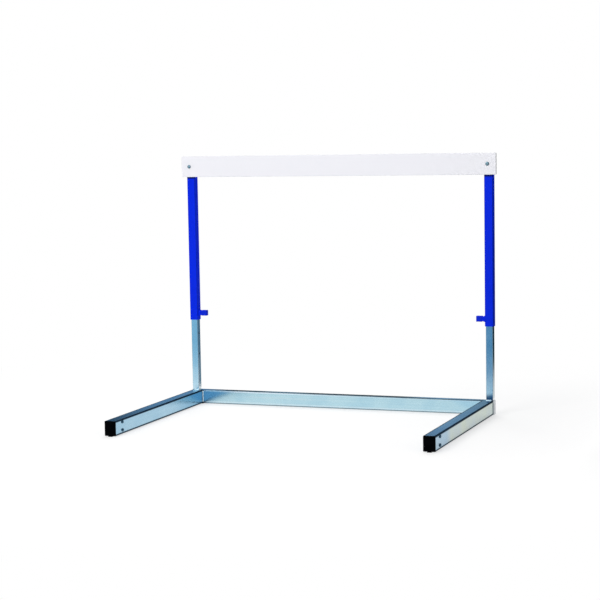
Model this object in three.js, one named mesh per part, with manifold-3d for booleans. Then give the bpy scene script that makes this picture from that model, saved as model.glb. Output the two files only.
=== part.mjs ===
// A track hurdle: a white crossbar on two blue sleeves, which slide up and down on the posts of a steel base.
// Lengths are in millimetres. X runs along the crossbar, Y points to the back and Z points up.
// The origin is on the ground, under the middle of the hurdle's bounding box.
// The crossbar stands in the middle of its five settings, with both latch pins pulled clear of the posts.

import * as THREE from "three";
import { mergeVertices } from "three/addons/utils/BufferGeometryUtils.js";
import Module from "manifold-3d";

// Crossbar
const barTopHeight = 914; // above the ground, in the middle setting
const barLength = 1175;
const barHeight = 75;
const barThickness = 12;
const barCornerRadius = 4;
const barEdgeBevel = 1.5;
const barOverhang = 15; // past the outer side of each sleeve

// Height settings
const settingStep = 76.2;
const settingsBelow = 2;
const settingsAbove = 2;

// Posts and the sleeves that slide on them
const postWidth = 25;
const postWall = 2;
const postTopGap = 14; // between the crossbar's bolts and the post's top, in the lowest setting
const slideClearance = 0.5; // between the post and each side of the sleeve
const sleeveWall = 2;
const sleeveTopDrop = 6; // from the crossbar's top edge down to the sleeve's top end
const latchAxisHeight = 338; // above the ground, in the middle setting
const latchAboveSleeveEnd = 25;

// Base
const legLength = 735;
const legWidth = 40;
const legHeight = 50;
const legWall = 2;
const railWall = 2;
const groundClearance = 2.5; // under the tubes, taken up by the feet
const weldSize = 3.5;
const weldEndInset = 4; // from a weld's end to the edge of the tube that it joins

// Counterweights and their bolts
const weightLength = 150;
const weightGap = 0.75; // between the weight and the leg's inside
const weightBehindCap = 3; // between the cap's insert and the weight
const weightBoltFromEnd = 50; // from the front end of the leg's tube
const weightBoltAboveBase = 13; // from the leg's underside to the lower bolt
const weightBoltBelowTop = 9.5; // from the leg's top to the upper bolt

// Plastic plugs, caps and feet
const plugFlange = 2.5;
const plugInsert = 16;
const plugWall = 1.8;
const plugGap = 0.3; // between a plug's insert and its tube
const capFlange = 4;
const capInsert = 20;
const capFootWidth = 14;
const capFootLength = 24; // how far the foot reaches under the leg's tube
const capFootRise = 5; // how far the foot runs up the cap's face
const capFootProud = 0.8; // how far the foot stands out of the cap's face
const capNotchWidth = 3;
const capNotchHeight = 3.5;
const capNotchDepth = 2.4;
const padFromRailEnd = 30;
const padRadius = 9;
const padStemRadius = 2.7;
const padBulbRadius = 4;
const padBulbHeight = 5;
const padEdge = 0.6;

// Bolts, nuts and washers, all of one size
const boltRadius = 3;
const boltHeadRadius = 5.5;
const boltHeadHeight = 3.3;
const boltHeadRim = 1.1; // height of the head's straight rim, below its dome
const boltHeadFlat = 2.6; // radius of the flat on top of the dome
const boltSocketRadius = 2.2;
const boltSocketDepth = 1.8;
const boltTipChamfer = 0.8;
const boltPastNut = 2.5;
const nutAcrossFlats = 10;
const nutThickness = 5;
const nutChamfer = 0.7;
const washerRadius = 6.5;
const washerThickness = 1.2;

// Latch, whose lengths are measured from the sleeve's inner side
const latchWidth = 18;
const latchHeight = 20;
const latchCornerRadius = 2;
const latchTravel = 5.5;
const latchBaseLength = 6.5;
const latchFloor = 5; // the wall that the pin passes through
const latchBossEnd = 23;
const chamberRadius = 5.2;
const knobWall = 1.5;
const knobGap = 0.3; // between the knob's skirt and the boss
const knobEndWall = 3.5;
const knobBevel = 0.8;
const stopClearance = 0.5; // left at each end of the latch's travel
const pinRadius = 3;
const pinTipChamfer = 1;
const pinStemRadius = 2;
const pinStemInKnob = 2.5;
const collarThickness = 2;
const bushThickness = 2.5;
const springWireRadius = 0.35;
const springTurns = 3.5;

// Fits between pieces
const seatGap = 0.25; // between two pieces that rest on each other
const runningGap = 0.3; // round a pin, stem or bolt in its hole
const settingHoleGap = 0.6; // round the pin in a post's setting hole
const cutOverrun = 4; // how far a cutting shape runs past the surface that it cuts
const mergeDistance = 0.0001;

// Round and rounded shapes
const tubeCornerShare = 1.5; // a tube's outer corner radius over its wall
const cornerSteps = 2;
const roundSteps = 16;
const domeSteps = 3;
const hexagonSides = 6;
const springStepsPerTurn = 8;
const springSides = 5;
const quarterTurn = Math.PI / 2;

// Sizes that follow from those above
const sleeveWidth = postWidth + 2 * (slideClearance + sleeveWall);
const postSpacing = barLength - 2 * barOverhang - sleeveWidth;
const boltHeight = barTopHeight - barHeight / 2;
const sleeveBottomHeight = latchAxisHeight - latchAboveSleeveEnd;
const sleeveLength = barTopHeight - sleeveTopDrop - sleeveBottomHeight;
const railHeight = legHeight;
const railDepth = postWidth;
const railLength = postSpacing + postWidth;
const railTopHeight = groundClearance + railHeight;
const postBottomHeight = railTopHeight + seatGap;
const postTopHeight = boltHeight - settingsBelow * settingStep - postTopGap;
const legOffset = (railLength - legWidth) / 2; // of a leg's centre from the hurdle's centre
const padOffset = railLength / 2 - padFromRailEnd;
const legRearY = -railDepth / 2 - seatGap;
const legFrontY = legRearY - legLength;
const boltStack = seatGap + washerThickness + seatGap; // from a surface past its washer
const boltBeyondSleeve = boltStack + nutThickness + boltPastNut;
const frontReach = seatGap + capFlange + capFootProud - legFrontY;
const rearReach = sleeveWidth / 2 + boltBeyondSleeve;
const bossWidth = latchWidth - 2 * (knobWall + knobGap);
const bossHeight = latchHeight - 2 * (knobWall + knobGap);
const knobStart = latchBaseLength + latchTravel + stopClearance;
const knobFloor = latchBossEnd + latchTravel + stopClearance;
const knobEnd = knobFloor + knobEndWall;
const pinTip = seatGap - sleeveWall - slideClearance;
const collarStart = latchFloor + latchTravel + stopClearance;
const collarEnd = collarStart + collarThickness;
const bushStart = latchBossEnd - bushThickness;

const sides = [
  { name: "left", sign: -1, turn: 0 },
  { name: "right", sign: 1, turn: Math.PI },
];

const wasm = await Module();
wasm.setup();

// Finishes

function zincPlatedTube() {
  return new THREE.MeshStandardMaterial({ color: 0xa9c2d2, roughness: 0.35, metalness: 0.85 });
}

function zincPlatedFastener() {
  return new THREE.MeshStandardMaterial({ color: 0xb4bcc0, roughness: 0.3, metalness: 0.9 });
}

function weldMetal() {
  return new THREE.MeshStandardMaterial({ color: 0xbfd0da, roughness: 0.45, metalness: 0.8 });
}

function bluePaint() {
  return new THREE.MeshStandardMaterial({ color: 0x0a2cd6, roughness: 0.3, metalness: 0 });
}

function bluePlastic() {
  return new THREE.MeshStandardMaterial({ color: 0x0b2bc8, roughness: 0.45, metalness: 0 });
}

function whitePlastic() {
  return new THREE.MeshStandardMaterial({ color: 0xf1f0f4, roughness: 0.4, metalness: 0 });
}

function blackPlastic() {
  return new THREE.MeshStandardMaterial({ color: 0x0c0d0e, roughness: 0.5, metalness: 0 });
}

function greyPlastic() {
  return new THREE.MeshStandardMaterial({ color: 0xb9c2c8, roughness: 0.5, metalness: 0 });
}

function blackRubber() {
  return new THREE.MeshStandardMaterial({ color: 0x141414, roughness: 0.85, metalness: 0 });
}

function rawSteel() {
  return new THREE.MeshStandardMaterial({ color: 0x6a6c6e, roughness: 0.6, metalness: 0.9 });
}

function springSteel() {
  return new THREE.MeshStandardMaterial({ color: 0x8d9094, roughness: 0.3, metalness: 1 });
}

// Solids that can be joined and cut

function solidFrom(geometry) {
  const bare = geometry.index ? geometry.toNonIndexed() : geometry.clone();
  bare.deleteAttribute("normal");
  bare.deleteAttribute("uv");
  const merged = mergeVertices(bare, mergeDistance);
  const corners = merged.index.array;
  const triangles = [];
  for (let i = 0; i < corners.length; i += 3) {
    const [a, b, c] = corners.slice(i, i + 3);
    const hasArea = a !== b && b !== c && c !== a;
    if (hasArea) triangles.push(a, b, c);
  }
  return new wasm.Manifold(
    new wasm.Mesh({
      numProp: 3,
      vertProperties: new Float32Array(merged.attributes.position.array),
      triVerts: new Uint32Array(triangles),
    }),
  );
}

function geometryFrom(solid) {
  const mesh = solid.getMesh();
  const geometry = new THREE.BufferGeometry();
  geometry.setAttribute("position", new THREE.BufferAttribute(mesh.vertProperties, 3));
  geometry.setIndex(new THREE.BufferAttribute(mesh.triVerts, 1));
  return geometry;
}

function joined(...geometries) {
  const [first, ...others] = geometries.map(solidFrom);
  return geometryFrom(others.reduce((whole, other) => whole.add(other), first));
}

function cut(geometry, ...tools) {
  return geometryFrom(tools.reduce((whole, tool) => whole.subtract(solidFrom(tool)), solidFrom(geometry)));
}

function common(geometry, other) {
  return geometryFrom(solidFrom(geometry).intersect(solidFrom(other)));
}

// Outlines

function roundedRectangle(width, height, radius) {
  const x = width / 2 - radius;
  const y = height / 2 - radius;
  const outline = new THREE.Shape();
  outline.absarc(x, y, radius, 0, quarterTurn);
  outline.absarc(-x, y, radius, quarterTurn, 2 * quarterTurn);
  outline.absarc(-x, -y, radius, 2 * quarterTurn, 3 * quarterTurn);
  outline.absarc(x, -y, radius, 3 * quarterTurn, 4 * quarterTurn);
  return outline;
}

function tubeSection(width, height, wall) {
  const radius = tubeCornerShare * wall;
  const section = roundedRectangle(width, height, radius);
  section.holes.push(roundedRectangle(width - 2 * wall, height - 2 * wall, radius - wall));
  return section;
}

// Basic forms: prisms start at zero and run along +Z, round ones have their axis along Y

function prism(outline, length) {
  const options = { depth: length, bevelEnabled: false, curveSegments: cornerSteps };
  return new THREE.ExtrudeGeometry(outline, options);
}

function bevelledPrism(width, height, radius, length, bevel) {
  const outline = roundedRectangle(width - 2 * bevel, height - 2 * bevel, radius - bevel);
  const slab = new THREE.ExtrudeGeometry(outline, {
    depth: length - 2 * bevel,
    bevelThickness: bevel,
    bevelSize: bevel,
    bevelSegments: 2,
    curveSegments: cornerSteps,
  });
  return slab.translate(0, 0, bevel);
}

function revolved(profile) {
  const points = profile.map(([radius, along]) => new THREE.Vector2(radius, along));
  return new THREE.LatheGeometry(points, roundSteps);
}

function ring(innerRadius, outerRadius, thickness) {
  return revolved([
    [innerRadius, 0],
    [outerRadius, 0],
    [outerRadius, thickness],
    [innerRadius, thickness],
    [innerRadius, 0],
  ]);
}

function rod(radius, length) {
  return new THREE.CylinderGeometry(radius, radius, length, roundSteps);
}

function hexagon(cornerRadius, length) {
  return new THREE.CylinderGeometry(cornerRadius, cornerRadius, length, hexagonSides);
}

function block(width, depth, height) {
  return new THREE.BoxGeometry(width, depth, height);
}

// Ways to turn a prism or a rod from the direction that it is made in

function prismToFront(geometry) {
  return geometry.rotateX(quarterTurn);
}

function prismToRight(geometry) {
  return geometry.rotateX(quarterTurn).rotateZ(quarterTurn);
}

function rodToRight(geometry) {
  return geometry.rotateZ(-quarterTurn);
}

function rodUp(geometry) {
  return geometry.rotateX(quarterTurn);
}

function piece(name, geometry, material, x = 0, y = 0, z = 0) {
  const mesh = new THREE.Mesh(geometry, material);
  mesh.name = name;
  mesh.position.set(x, y, z);
  return mesh;
}

// Bolts, nuts and washers: the bolt's shank starts at zero and runs to the back, its head to the front

// The head's dome, from the flat on top to the rim, as points of a quarter ellipse.
function boltDome() {
  const dome = [];
  for (let step = 0; step <= domeSteps; step += 1) {
    const angle = (quarterTurn * step) / domeSteps;
    const radius = boltHeadFlat + (boltHeadRadius - boltHeadFlat) * Math.sin(angle);
    dome.push([radius, -boltHeadRim - (boltHeadHeight - boltHeadRim) * Math.cos(angle)]);
  }
  return dome;
}

function boltGeometry(length) {
  const turned = revolved([
    [0, -boltHeadHeight],
    ...boltDome(),
    [boltHeadRadius, 0],
    [boltRadius, 0],
    [boltRadius, length - boltTipChamfer],
    [boltRadius - boltTipChamfer, length],
    [0, length],
  ]);
  const socket = hexagon(boltSocketRadius, 2 * boltSocketDepth).translate(0, -boltHeadHeight, 0);
  return cut(turned, socket);
}

function nutGeometry() {
  const cornerRadius = nutAcrossFlats / Math.sqrt(3);
  const blank = hexagon(cornerRadius, nutThickness).translate(0, nutThickness / 2, 0);
  const chamfers = revolved([
    [0, 0],
    [cornerRadius - nutChamfer, 0],
    [cornerRadius, nutChamfer],
    [cornerRadius, nutThickness - nutChamfer],
    [cornerRadius - nutChamfer, nutThickness],
    [0, nutThickness],
  ]);
  return cut(common(blank, chamfers), rod(boltRadius + runningGap, 2 * (nutThickness + cutOverrun)));
}

function washerGeometry() {
  return ring(boltRadius + runningGap, washerRadius, washerThickness);
}

// Plugs: the flange stands on zero and points up, the hollow insert hangs below it inside the tube

function plugGeometry(width, height, wall, flange, insert) {
  const radius = tubeCornerShare * wall;
  const insideWidth = width - 2 * (wall + plugGap);
  const insideHeight = height - 2 * (wall + plugGap);
  const head = prism(roundedRectangle(width, height, radius), flange);
  const body = prism(roundedRectangle(insideWidth, insideHeight, radius - wall), insert + flange / 2);
  const pocketWidth = insideWidth - 2 * plugWall;
  const pocketHeight = insideHeight - 2 * plugWall;
  const pocket = prism(roundedRectangle(pocketWidth, pocketHeight, radius - wall), insert + cutOverrun);
  body.translate(0, 0, -insert);
  pocket.translate(0, 0, -insert - cutOverrun);
  return cut(joined(head, body), pocket);
}

function frontCapGeometry() {
  const underside = -legHeight / 2;
  const footHeight = groundClearance - seatGap;
  const footReach = capFootLength + capFlange + capFootProud;
  const foot = block(capFootWidth, footHeight, footReach);
  foot.translate(0, underside - groundClearance + footHeight / 2, footReach / 2 - capFootLength);
  const riserHeight = groundClearance + capFootRise;
  const riser = block(capFootWidth, riserHeight, capFlange + capFootProud);
  riser.translate(0, underside + capFootRise - riserHeight / 2, (capFlange + capFootProud) / 2);
  const plain = plugGeometry(legWidth, legHeight, legWall, capFlange, capInsert);
  const notchHeight = capNotchHeight + cutOverrun;
  const notches = [-1, 1].map((sign) =>
    block(capNotchWidth, notchHeight, 2 * capNotchDepth).translate(
      (sign * (capFootWidth + capNotchWidth)) / 2,
      underside + capNotchHeight - notchHeight / 2,
      capFlange,
    ),
  );
  return cut(joined(plain, foot, riser), ...notches);
}

// Base

function railGeometry() {
  const tube = prismToRight(prism(tubeSection(railDepth, railHeight, railWall), railLength));
  tube.translate(-railLength / 2, 0, 0);
  const padHoles = sides.map(({ sign }) =>
    rodUp(rod(padStemRadius + runningGap, 2 * cutOverrun)).translate(sign * padOffset, 0, -railHeight / 2),
  );
  return cut(tube, ...padHoles);
}

function footPadGeometry() {
  const headTop = groundClearance - seatGap;
  const bulbStart = groundClearance + railWall + seatGap;
  return rodUp(
    revolved([
      [0, 0],
      [padRadius - padEdge, 0],
      [padRadius, padEdge],
      [padRadius, headTop],
      [padStemRadius, headTop],
      [padStemRadius, bulbStart],
      [padBulbRadius, bulbStart],
      [padStemRadius, bulbStart + padBulbHeight],
      [0, bulbStart + padBulbHeight],
    ]),
  );
}

function weightBoltPlaces() {
  const y = weightBoltFromEnd - legLength;
  return [
    { level: "lower", y, z: weightBoltAboveBase - legHeight / 2 },
    { level: "upper", y, z: legHeight / 2 - weightBoltBelowTop },
  ];
}

function weightBoltHoles(depth) {
  const holeRadius = boltRadius + runningGap;
  return weightBoltPlaces().map(({ y, z }) => rodToRight(rod(holeRadius, depth)).translate(0, y, z));
}

function legGeometry() {
  const tube = prismToFront(prism(tubeSection(legWidth, legHeight, legWall), legLength));
  return cut(tube, ...weightBoltHoles(legWidth + 2 * cutOverrun));
}

function weightGeometry() {
  const width = legWidth - 2 * (legWall + weightGap);
  const height = legHeight - 2 * (legWall + weightGap);
  const bar = prismToFront(prism(roundedRectangle(width, height, weightGap), weightLength));
  const frontEnd = legLength - capInsert - weightBehindCap;
  bar.translate(0, weightLength - frontEnd, 0);
  return cut(bar, ...weightBoltHoles(width + 2 * cutOverrun));
}

function weightBolts(sideName) {
  const face = legWidth / 2 + seatGap;
  const length = legWidth + 2 * seatGap + nutThickness + boltPastNut;
  return weightBoltPlaces().flatMap(({ level, y, z }) => {
    const place = `${sideName}_${level}`;
    const bolt = piece(`weight_bolt_${place}`, boltGeometry(length), zincPlatedFastener(), face, y, z);
    const nut = piece(`weight_nut_${place}`, nutGeometry(), zincPlatedFastener(), -face, y, z);
    bolt.rotation.z = quarterTurn;
    nut.rotation.z = quarterTurn;
    return [bolt, nut];
  });
}

function legGroup(side) {
  const leg = new THREE.Group();
  leg.position.set(side.sign * legOffset, legRearY, groundClearance + legHeight / 2);
  const cap = piece(`leg_front_cap_${side.name}`, frontCapGeometry(), blackPlastic(), 0, -legLength - seatGap);
  cap.rotation.x = quarterTurn;
  leg.add(
    piece(`leg_${side.name}`, legGeometry(), zincPlatedTube()),
    piece(`leg_counterweight_${side.name}`, weightGeometry(), rawSteel()),
    cap,
    ...weightBolts(side.name),
  );
  return leg;
}

// A bead's section has its square corner at the origin and its bulging face towards +x, +y.
function beadSection() {
  const section = new THREE.Shape();
  section.moveTo(0, 0);
  section.absarc(0, 0, weldSize, 0, quarterTurn);
  return section;
}

// The bead along the front of a post's foot and round its corner, along the side that faces the other post.
function postWeldGeometry(side) {
  const reach = postWidth / 2 + seatGap;
  const frontLength = postWidth + seatGap + weldSize - weldEndInset;
  const front = prismToRight(prism(beadSection(), frontLength)).rotateZ(2 * quarterTurn);
  front.translate(reach + weldSize, -reach, 0);
  const sideLength = postWidth + seatGap + weldSize - weldEndInset;
  const inner = prismToFront(prism(beadSection(), sideLength));
  inner.translate(reach, sideLength - reach - weldSize, 0);
  const bead = joined(front, inner);
  return side.sign < 0 ? bead : mirrored(bead);
}

function mirrored(geometry) {
  const flipped = geometry.clone().scale(-1, 1, 1);
  const corners = flipped.index.array;
  for (let i = 0; i < corners.length; i += 3) {
    [corners[i], corners[i + 1]] = [corners[i + 1], corners[i]];
  }
  return flipped;
}

// The upright bead in the corner between a leg's inner side and the rail's front.
function legWeldGeometry(side) {
  const bead = prism(beadSection(), legHeight - 2 * weldEndInset);
  const turn = side.sign < 0 ? -quarterTurn : 2 * quarterTurn;
  return bead.rotateZ(turn);
}

function legWeld(side) {
  const x = side.sign * (legOffset - legWidth / 2 - seatGap);
  const y = -railDepth / 2 - seatGap;
  const z = groundClearance + weldEndInset;
  return piece(`leg_weld_${side.name}`, legWeldGeometry(side), weldMetal(), x, y, z);
}

function postGeometry() {
  const tube = prism(tubeSection(postWidth, postWidth, postWall), postTopHeight - postBottomHeight);
  const holes = [];
  for (let setting = -settingsBelow; setting <= settingsAbove; setting += 1) {
    const height = latchAxisHeight + setting * settingStep - postBottomHeight;
    const hole = rodToRight(rod(pinRadius + settingHoleGap, 2 * cutOverrun));
    holes.push(hole.translate(postWidth / 2, 0, height));
  }
  return cut(tube, ...holes);
}

function postGroup(side) {
  const post = new THREE.Group();
  post.position.x = (side.sign * postSpacing) / 2;
  post.rotation.z = side.turn;
  const plug = plugGeometry(postWidth, postWidth, postWall, plugFlange, plugInsert);
  post.add(
    piece(`post_${side.name}`, postGeometry(), zincPlatedTube(), 0, 0, postBottomHeight),
    piece(`post_top_plug_${side.name}`, plug, blackPlastic(), 0, 0, postTopHeight + seatGap),
  );
  return post;
}

function railEndPlug(side) {
  const geometry = plugGeometry(railHeight, railDepth, railWall, plugFlange, plugInsert);
  const x = side.sign * (railLength / 2 + seatGap);
  const z = groundClearance + railHeight / 2;
  const plug = piece(`rail_end_plug_${side.name}`, geometry, greyPlastic(), x, 0, z);
  plug.rotation.y = side.sign * quarterTurn;
  return plug;
}

function baseGroup() {
  const base = new THREE.Group();
  base.add(piece("cross_rail", railGeometry(), zincPlatedTube(), 0, 0, groundClearance + railHeight / 2));
  for (const side of sides) {
    const x = (side.sign * postSpacing) / 2;
    base.add(
      legGroup(side),
      postGroup(side),
      railEndPlug(side),
      piece(`rail_foot_pad_${side.name}`, footPadGeometry(), blackRubber(), side.sign * padOffset),
      piece(`post_weld_${side.name}`, postWeldGeometry(side), weldMetal(), x, 0, postBottomHeight),
      legWeld(side),
    );
  }
  return base;
}

// Crossbar and sleeves

function barGeometry() {
  const slab = bevelledPrism(barLength, barHeight, barCornerRadius, barThickness, barEdgeBevel);
  const holes = sides.map(({ sign }) =>
    rod(boltRadius + runningGap, 2 * (barThickness + cutOverrun)).translate((sign * postSpacing) / 2, 0, 0),
  );
  return cut(prismToFront(slab), ...holes);
}

function barBolt(side) {
  const barFront = -(sleeveWidth / 2 + seatGap + barThickness);
  const headSeat = barFront - boltStack;
  const frontWasherSeat = headSeat + seatGap;
  const rearWasherSeat = sleeveWidth / 2 + seatGap;
  const nutSeat = sleeveWidth / 2 + boltStack;
  const place = (kind, geometry, seat) => {
    const x = (side.sign * postSpacing) / 2;
    return piece(`crossbar_${kind}_${side.name}`, geometry, zincPlatedFastener(), x, seat, boltHeight);
  };
  return [
    place("bolt", boltGeometry(rearReach - headSeat), headSeat),
    place("front_washer", washerGeometry(), frontWasherSeat),
    place("rear_washer", washerGeometry(), rearWasherSeat),
    place("nut", nutGeometry(), nutSeat),
  ];
}

function sleeveGeometry() {
  const tube = prism(tubeSection(sleeveWidth, sleeveWidth, sleeveWall), sleeveLength);
  const boltHole = rod(boltRadius + runningGap, sleeveWidth + 2 * cutOverrun);
  boltHole.translate(0, 0, boltHeight - sleeveBottomHeight);
  const pinHole = rodToRight(rod(pinRadius + runningGap, 2 * cutOverrun));
  pinHole.translate(sleeveWidth / 2, 0, latchAboveSleeveEnd);
  return cut(tube, boltHole, pinHole);
}

// Latch: the group's origin is on the sleeve's inner side and its +X points to the other sleeve

function latchHousingGeometry() {
  const baseOutline = roundedRectangle(latchWidth, latchHeight, latchCornerRadius);
  const base = prismToRight(prism(baseOutline, latchBaseLength - seatGap)).translate(seatGap, 0, 0);
  const bossOutline = roundedRectangle(bossWidth, bossHeight, latchCornerRadius);
  const bossLength = latchBossEnd - latchFloor;
  const boss = prismToRight(prism(bossOutline, bossLength)).translate(latchFloor, 0, 0);
  const pinHole = rodToRight(rod(pinRadius + runningGap, 2 * latchBossEnd));
  const chamberLength = bossLength + cutOverrun;
  const chamber = rodToRight(rod(chamberRadius, chamberLength));
  chamber.translate(latchFloor + chamberLength / 2, 0, 0);
  return cut(joined(base, boss), pinHole, chamber);
}

function latchPinGeometry() {
  return rodToRight(
    revolved([
      [0, pinTip],
      [pinRadius - pinTipChamfer, pinTip],
      [pinRadius, pinTip + pinTipChamfer],
      [pinRadius, collarStart],
      [chamberRadius - runningGap, collarStart],
      [chamberRadius - runningGap, collarEnd],
      [pinStemRadius, collarEnd],
      [pinStemRadius, knobFloor + pinStemInKnob],
      [0, knobFloor + pinStemInKnob],
    ]),
  );
}

function latchBushGeometry() {
  const bush = ring(pinStemRadius + runningGap, chamberRadius - seatGap, bushThickness);
  return rodToRight(bush).translate(bushStart, 0, 0);
}

function latchKnobGeometry() {
  const outer = bevelledPrism(latchWidth, latchHeight, latchCornerRadius, knobEnd - knobStart, knobBevel);
  const recessWidth = bossWidth + 2 * knobGap;
  const recessHeight = bossHeight + 2 * knobGap;
  const recessDepth = knobFloor - knobStart;
  const recessOutline = roundedRectangle(recessWidth, recessHeight, latchCornerRadius);
  const recess = prism(recessOutline, recessDepth + cutOverrun).translate(0, 0, -cutOverrun);
  const knob = prismToRight(cut(outer, recess)).translate(knobStart, 0, 0);
  const stemHoleLength = 2 * (pinStemInKnob + seatGap);
  const stemHole = rodToRight(rod(pinStemRadius + seatGap, stemHoleLength)).translate(knobFloor, 0, 0);
  return cut(knob, stemHole);
}

// The spring's centre line, one point for each step, along +X between the pin's collar and the end bush.
function springLine() {
  const start = collarEnd + runningGap + springWireRadius;
  const end = bushStart - runningGap - springWireRadius;
  const coilRadius = chamberRadius - runningGap - springWireRadius;
  const steps = Math.round(springTurns * springStepsPerTurn);
  const stepAngle = (4 * quarterTurn) / springStepsPerTurn;
  const stepAlong = (end - start) / steps;
  const stepAround = coilRadius * stepAngle;
  const line = [];
  for (let step = 0; step <= steps; step += 1) {
    const y = Math.cos(step * stepAngle);
    const z = Math.sin(step * stepAngle);
    const centre = new THREE.Vector3(start + step * stepAlong, coilRadius * y, coilRadius * z);
    const out = new THREE.Vector3(0, y, z);
    const along = new THREE.Vector3(stepAlong, -stepAround * z, stepAround * y).normalize();
    line.push({ centre, out, across: new THREE.Vector3().crossVectors(along, out) });
  }
  return line;
}

function leastSpringGap(line) {
  const turnApart = springStepsPerTurn / 2;
  let least = Infinity;
  line.forEach((a, i) => {
    for (const b of line.slice(i + turnApart)) {
      least = Math.min(least, a.centre.distanceTo(b.centre) - 2 * springWireRadius);
    }
  });
  return least;
}

function latchSpringGeometry() {
  const line = springLine();
  const positions = [];
  for (const { centre, out, across } of line) {
    for (let side = 0; side < springSides; side += 1) {
      const angle = (side * 2 * Math.PI) / springSides;
      const point = centre.clone();
      point.addScaledVector(out, springWireRadius * Math.cos(angle));
      point.addScaledVector(across, springWireRadius * Math.sin(angle));
      positions.push(point.x, point.y, point.z);
    }
  }
  const triangles = [];
  for (let step = 0; step < line.length - 1; step += 1) {
    for (let side = 0; side < springSides; side += 1) {
      const a = step * springSides + side;
      const b = step * springSides + ((side + 1) % springSides);
      triangles.push(a, b, a + springSides, b, b + springSides, a + springSides);
    }
  }
  const lastRing = (line.length - 1) * springSides;
  for (let side = 1; side < springSides - 1; side += 1) {
    triangles.push(0, side + 1, side);
    triangles.push(lastRing, lastRing + side, lastRing + side + 1);
  }
  const spring = new THREE.BufferGeometry();
  spring.setAttribute("position", new THREE.Float32BufferAttribute(positions, 3));
  spring.setIndex(triangles);
  console.log(`latch spring: least gap to itself ${leastSpringGap(line).toFixed(2)} mm`);
  return spring;
}

function latchGroup(side) {
  const latch = new THREE.Group();
  latch.position.set(sleeveWidth / 2, 0, latchAxisHeight);
  latch.add(
    piece(`latch_housing_${side.name}`, latchHousingGeometry(), bluePaint()),
    piece(`latch_pin_${side.name}`, latchPinGeometry(), zincPlatedFastener()),
    piece(`latch_spring_${side.name}`, latchSpringGeometry(), springSteel()),
    piece(`latch_end_bush_${side.name}`, latchBushGeometry(), zincPlatedFastener()),
    piece(`latch_knob_${side.name}`, latchKnobGeometry(), bluePlastic()),
  );
  return latch;
}

function sleeveGroup(side) {
  const sleeve = new THREE.Group();
  sleeve.position.x = (side.sign * postSpacing) / 2;
  sleeve.rotation.z = side.turn;
  const plug = plugGeometry(sleeveWidth, sleeveWidth, sleeveWall, plugFlange, plugInsert);
  const topHeight = sleeveBottomHeight + sleeveLength + seatGap;
  sleeve.add(
    piece(`sleeve_${side.name}`, sleeveGeometry(), bluePaint(), 0, 0, sleeveBottomHeight),
    piece(`sleeve_top_plug_${side.name}`, plug, blackPlastic(), 0, 0, topHeight),
    latchGroup(side),
  );
  return sleeve;
}

function slidingGroup() {
  const sliding = new THREE.Group();
  sliding.add(piece("crossbar", barGeometry(), whitePlastic(), 0, -sleeveWidth / 2 - seatGap, boltHeight));
  for (const side of sides) {
    sliding.add(sleeveGroup(side), ...barBolt(side));
  }
  return sliding;
}

const hurdle = new THREE.Group();
hurdle.position.y = (frontReach - rearReach) / 2;
hurdle.add(baseGroup(), slidingGroup());

export default hurdle;
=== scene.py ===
"""Looks of a track hurdle: a white crossbar on two blue sleeves over a base of zinc-plated tube.

Lengths are in metres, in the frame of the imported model: X along the crossbar, Y to the back and Z up.
"""

import logging
import math
from dataclasses import dataclass
from enum import Enum
from typing import Any, Iterable, Optional, Sequence, Union

import bmesh
import bpy
from mathutils import Matrix, Vector


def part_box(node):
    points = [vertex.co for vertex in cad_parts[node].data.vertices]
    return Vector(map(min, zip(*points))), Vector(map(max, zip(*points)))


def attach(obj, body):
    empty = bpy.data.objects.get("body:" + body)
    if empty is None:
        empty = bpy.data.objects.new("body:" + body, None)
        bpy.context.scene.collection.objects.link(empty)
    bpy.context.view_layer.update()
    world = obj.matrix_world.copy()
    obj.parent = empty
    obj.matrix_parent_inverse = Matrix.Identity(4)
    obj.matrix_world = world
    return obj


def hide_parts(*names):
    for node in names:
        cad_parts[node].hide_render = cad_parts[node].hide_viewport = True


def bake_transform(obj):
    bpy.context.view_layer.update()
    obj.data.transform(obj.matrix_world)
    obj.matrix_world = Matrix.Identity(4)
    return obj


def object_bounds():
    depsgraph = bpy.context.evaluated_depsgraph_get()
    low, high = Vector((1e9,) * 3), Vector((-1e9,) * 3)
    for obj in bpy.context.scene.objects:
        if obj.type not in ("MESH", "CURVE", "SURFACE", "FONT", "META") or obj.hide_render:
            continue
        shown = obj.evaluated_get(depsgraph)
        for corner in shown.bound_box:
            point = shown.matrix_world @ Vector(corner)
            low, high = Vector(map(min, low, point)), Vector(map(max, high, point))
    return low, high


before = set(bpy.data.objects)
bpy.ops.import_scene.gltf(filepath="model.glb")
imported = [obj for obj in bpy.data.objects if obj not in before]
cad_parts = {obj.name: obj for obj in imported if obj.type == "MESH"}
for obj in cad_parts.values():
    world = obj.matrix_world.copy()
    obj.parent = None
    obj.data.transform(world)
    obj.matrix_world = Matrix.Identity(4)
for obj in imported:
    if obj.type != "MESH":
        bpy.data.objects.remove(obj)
CAD_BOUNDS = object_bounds()

LOG = logging.getLogger("hurdle")

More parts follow.
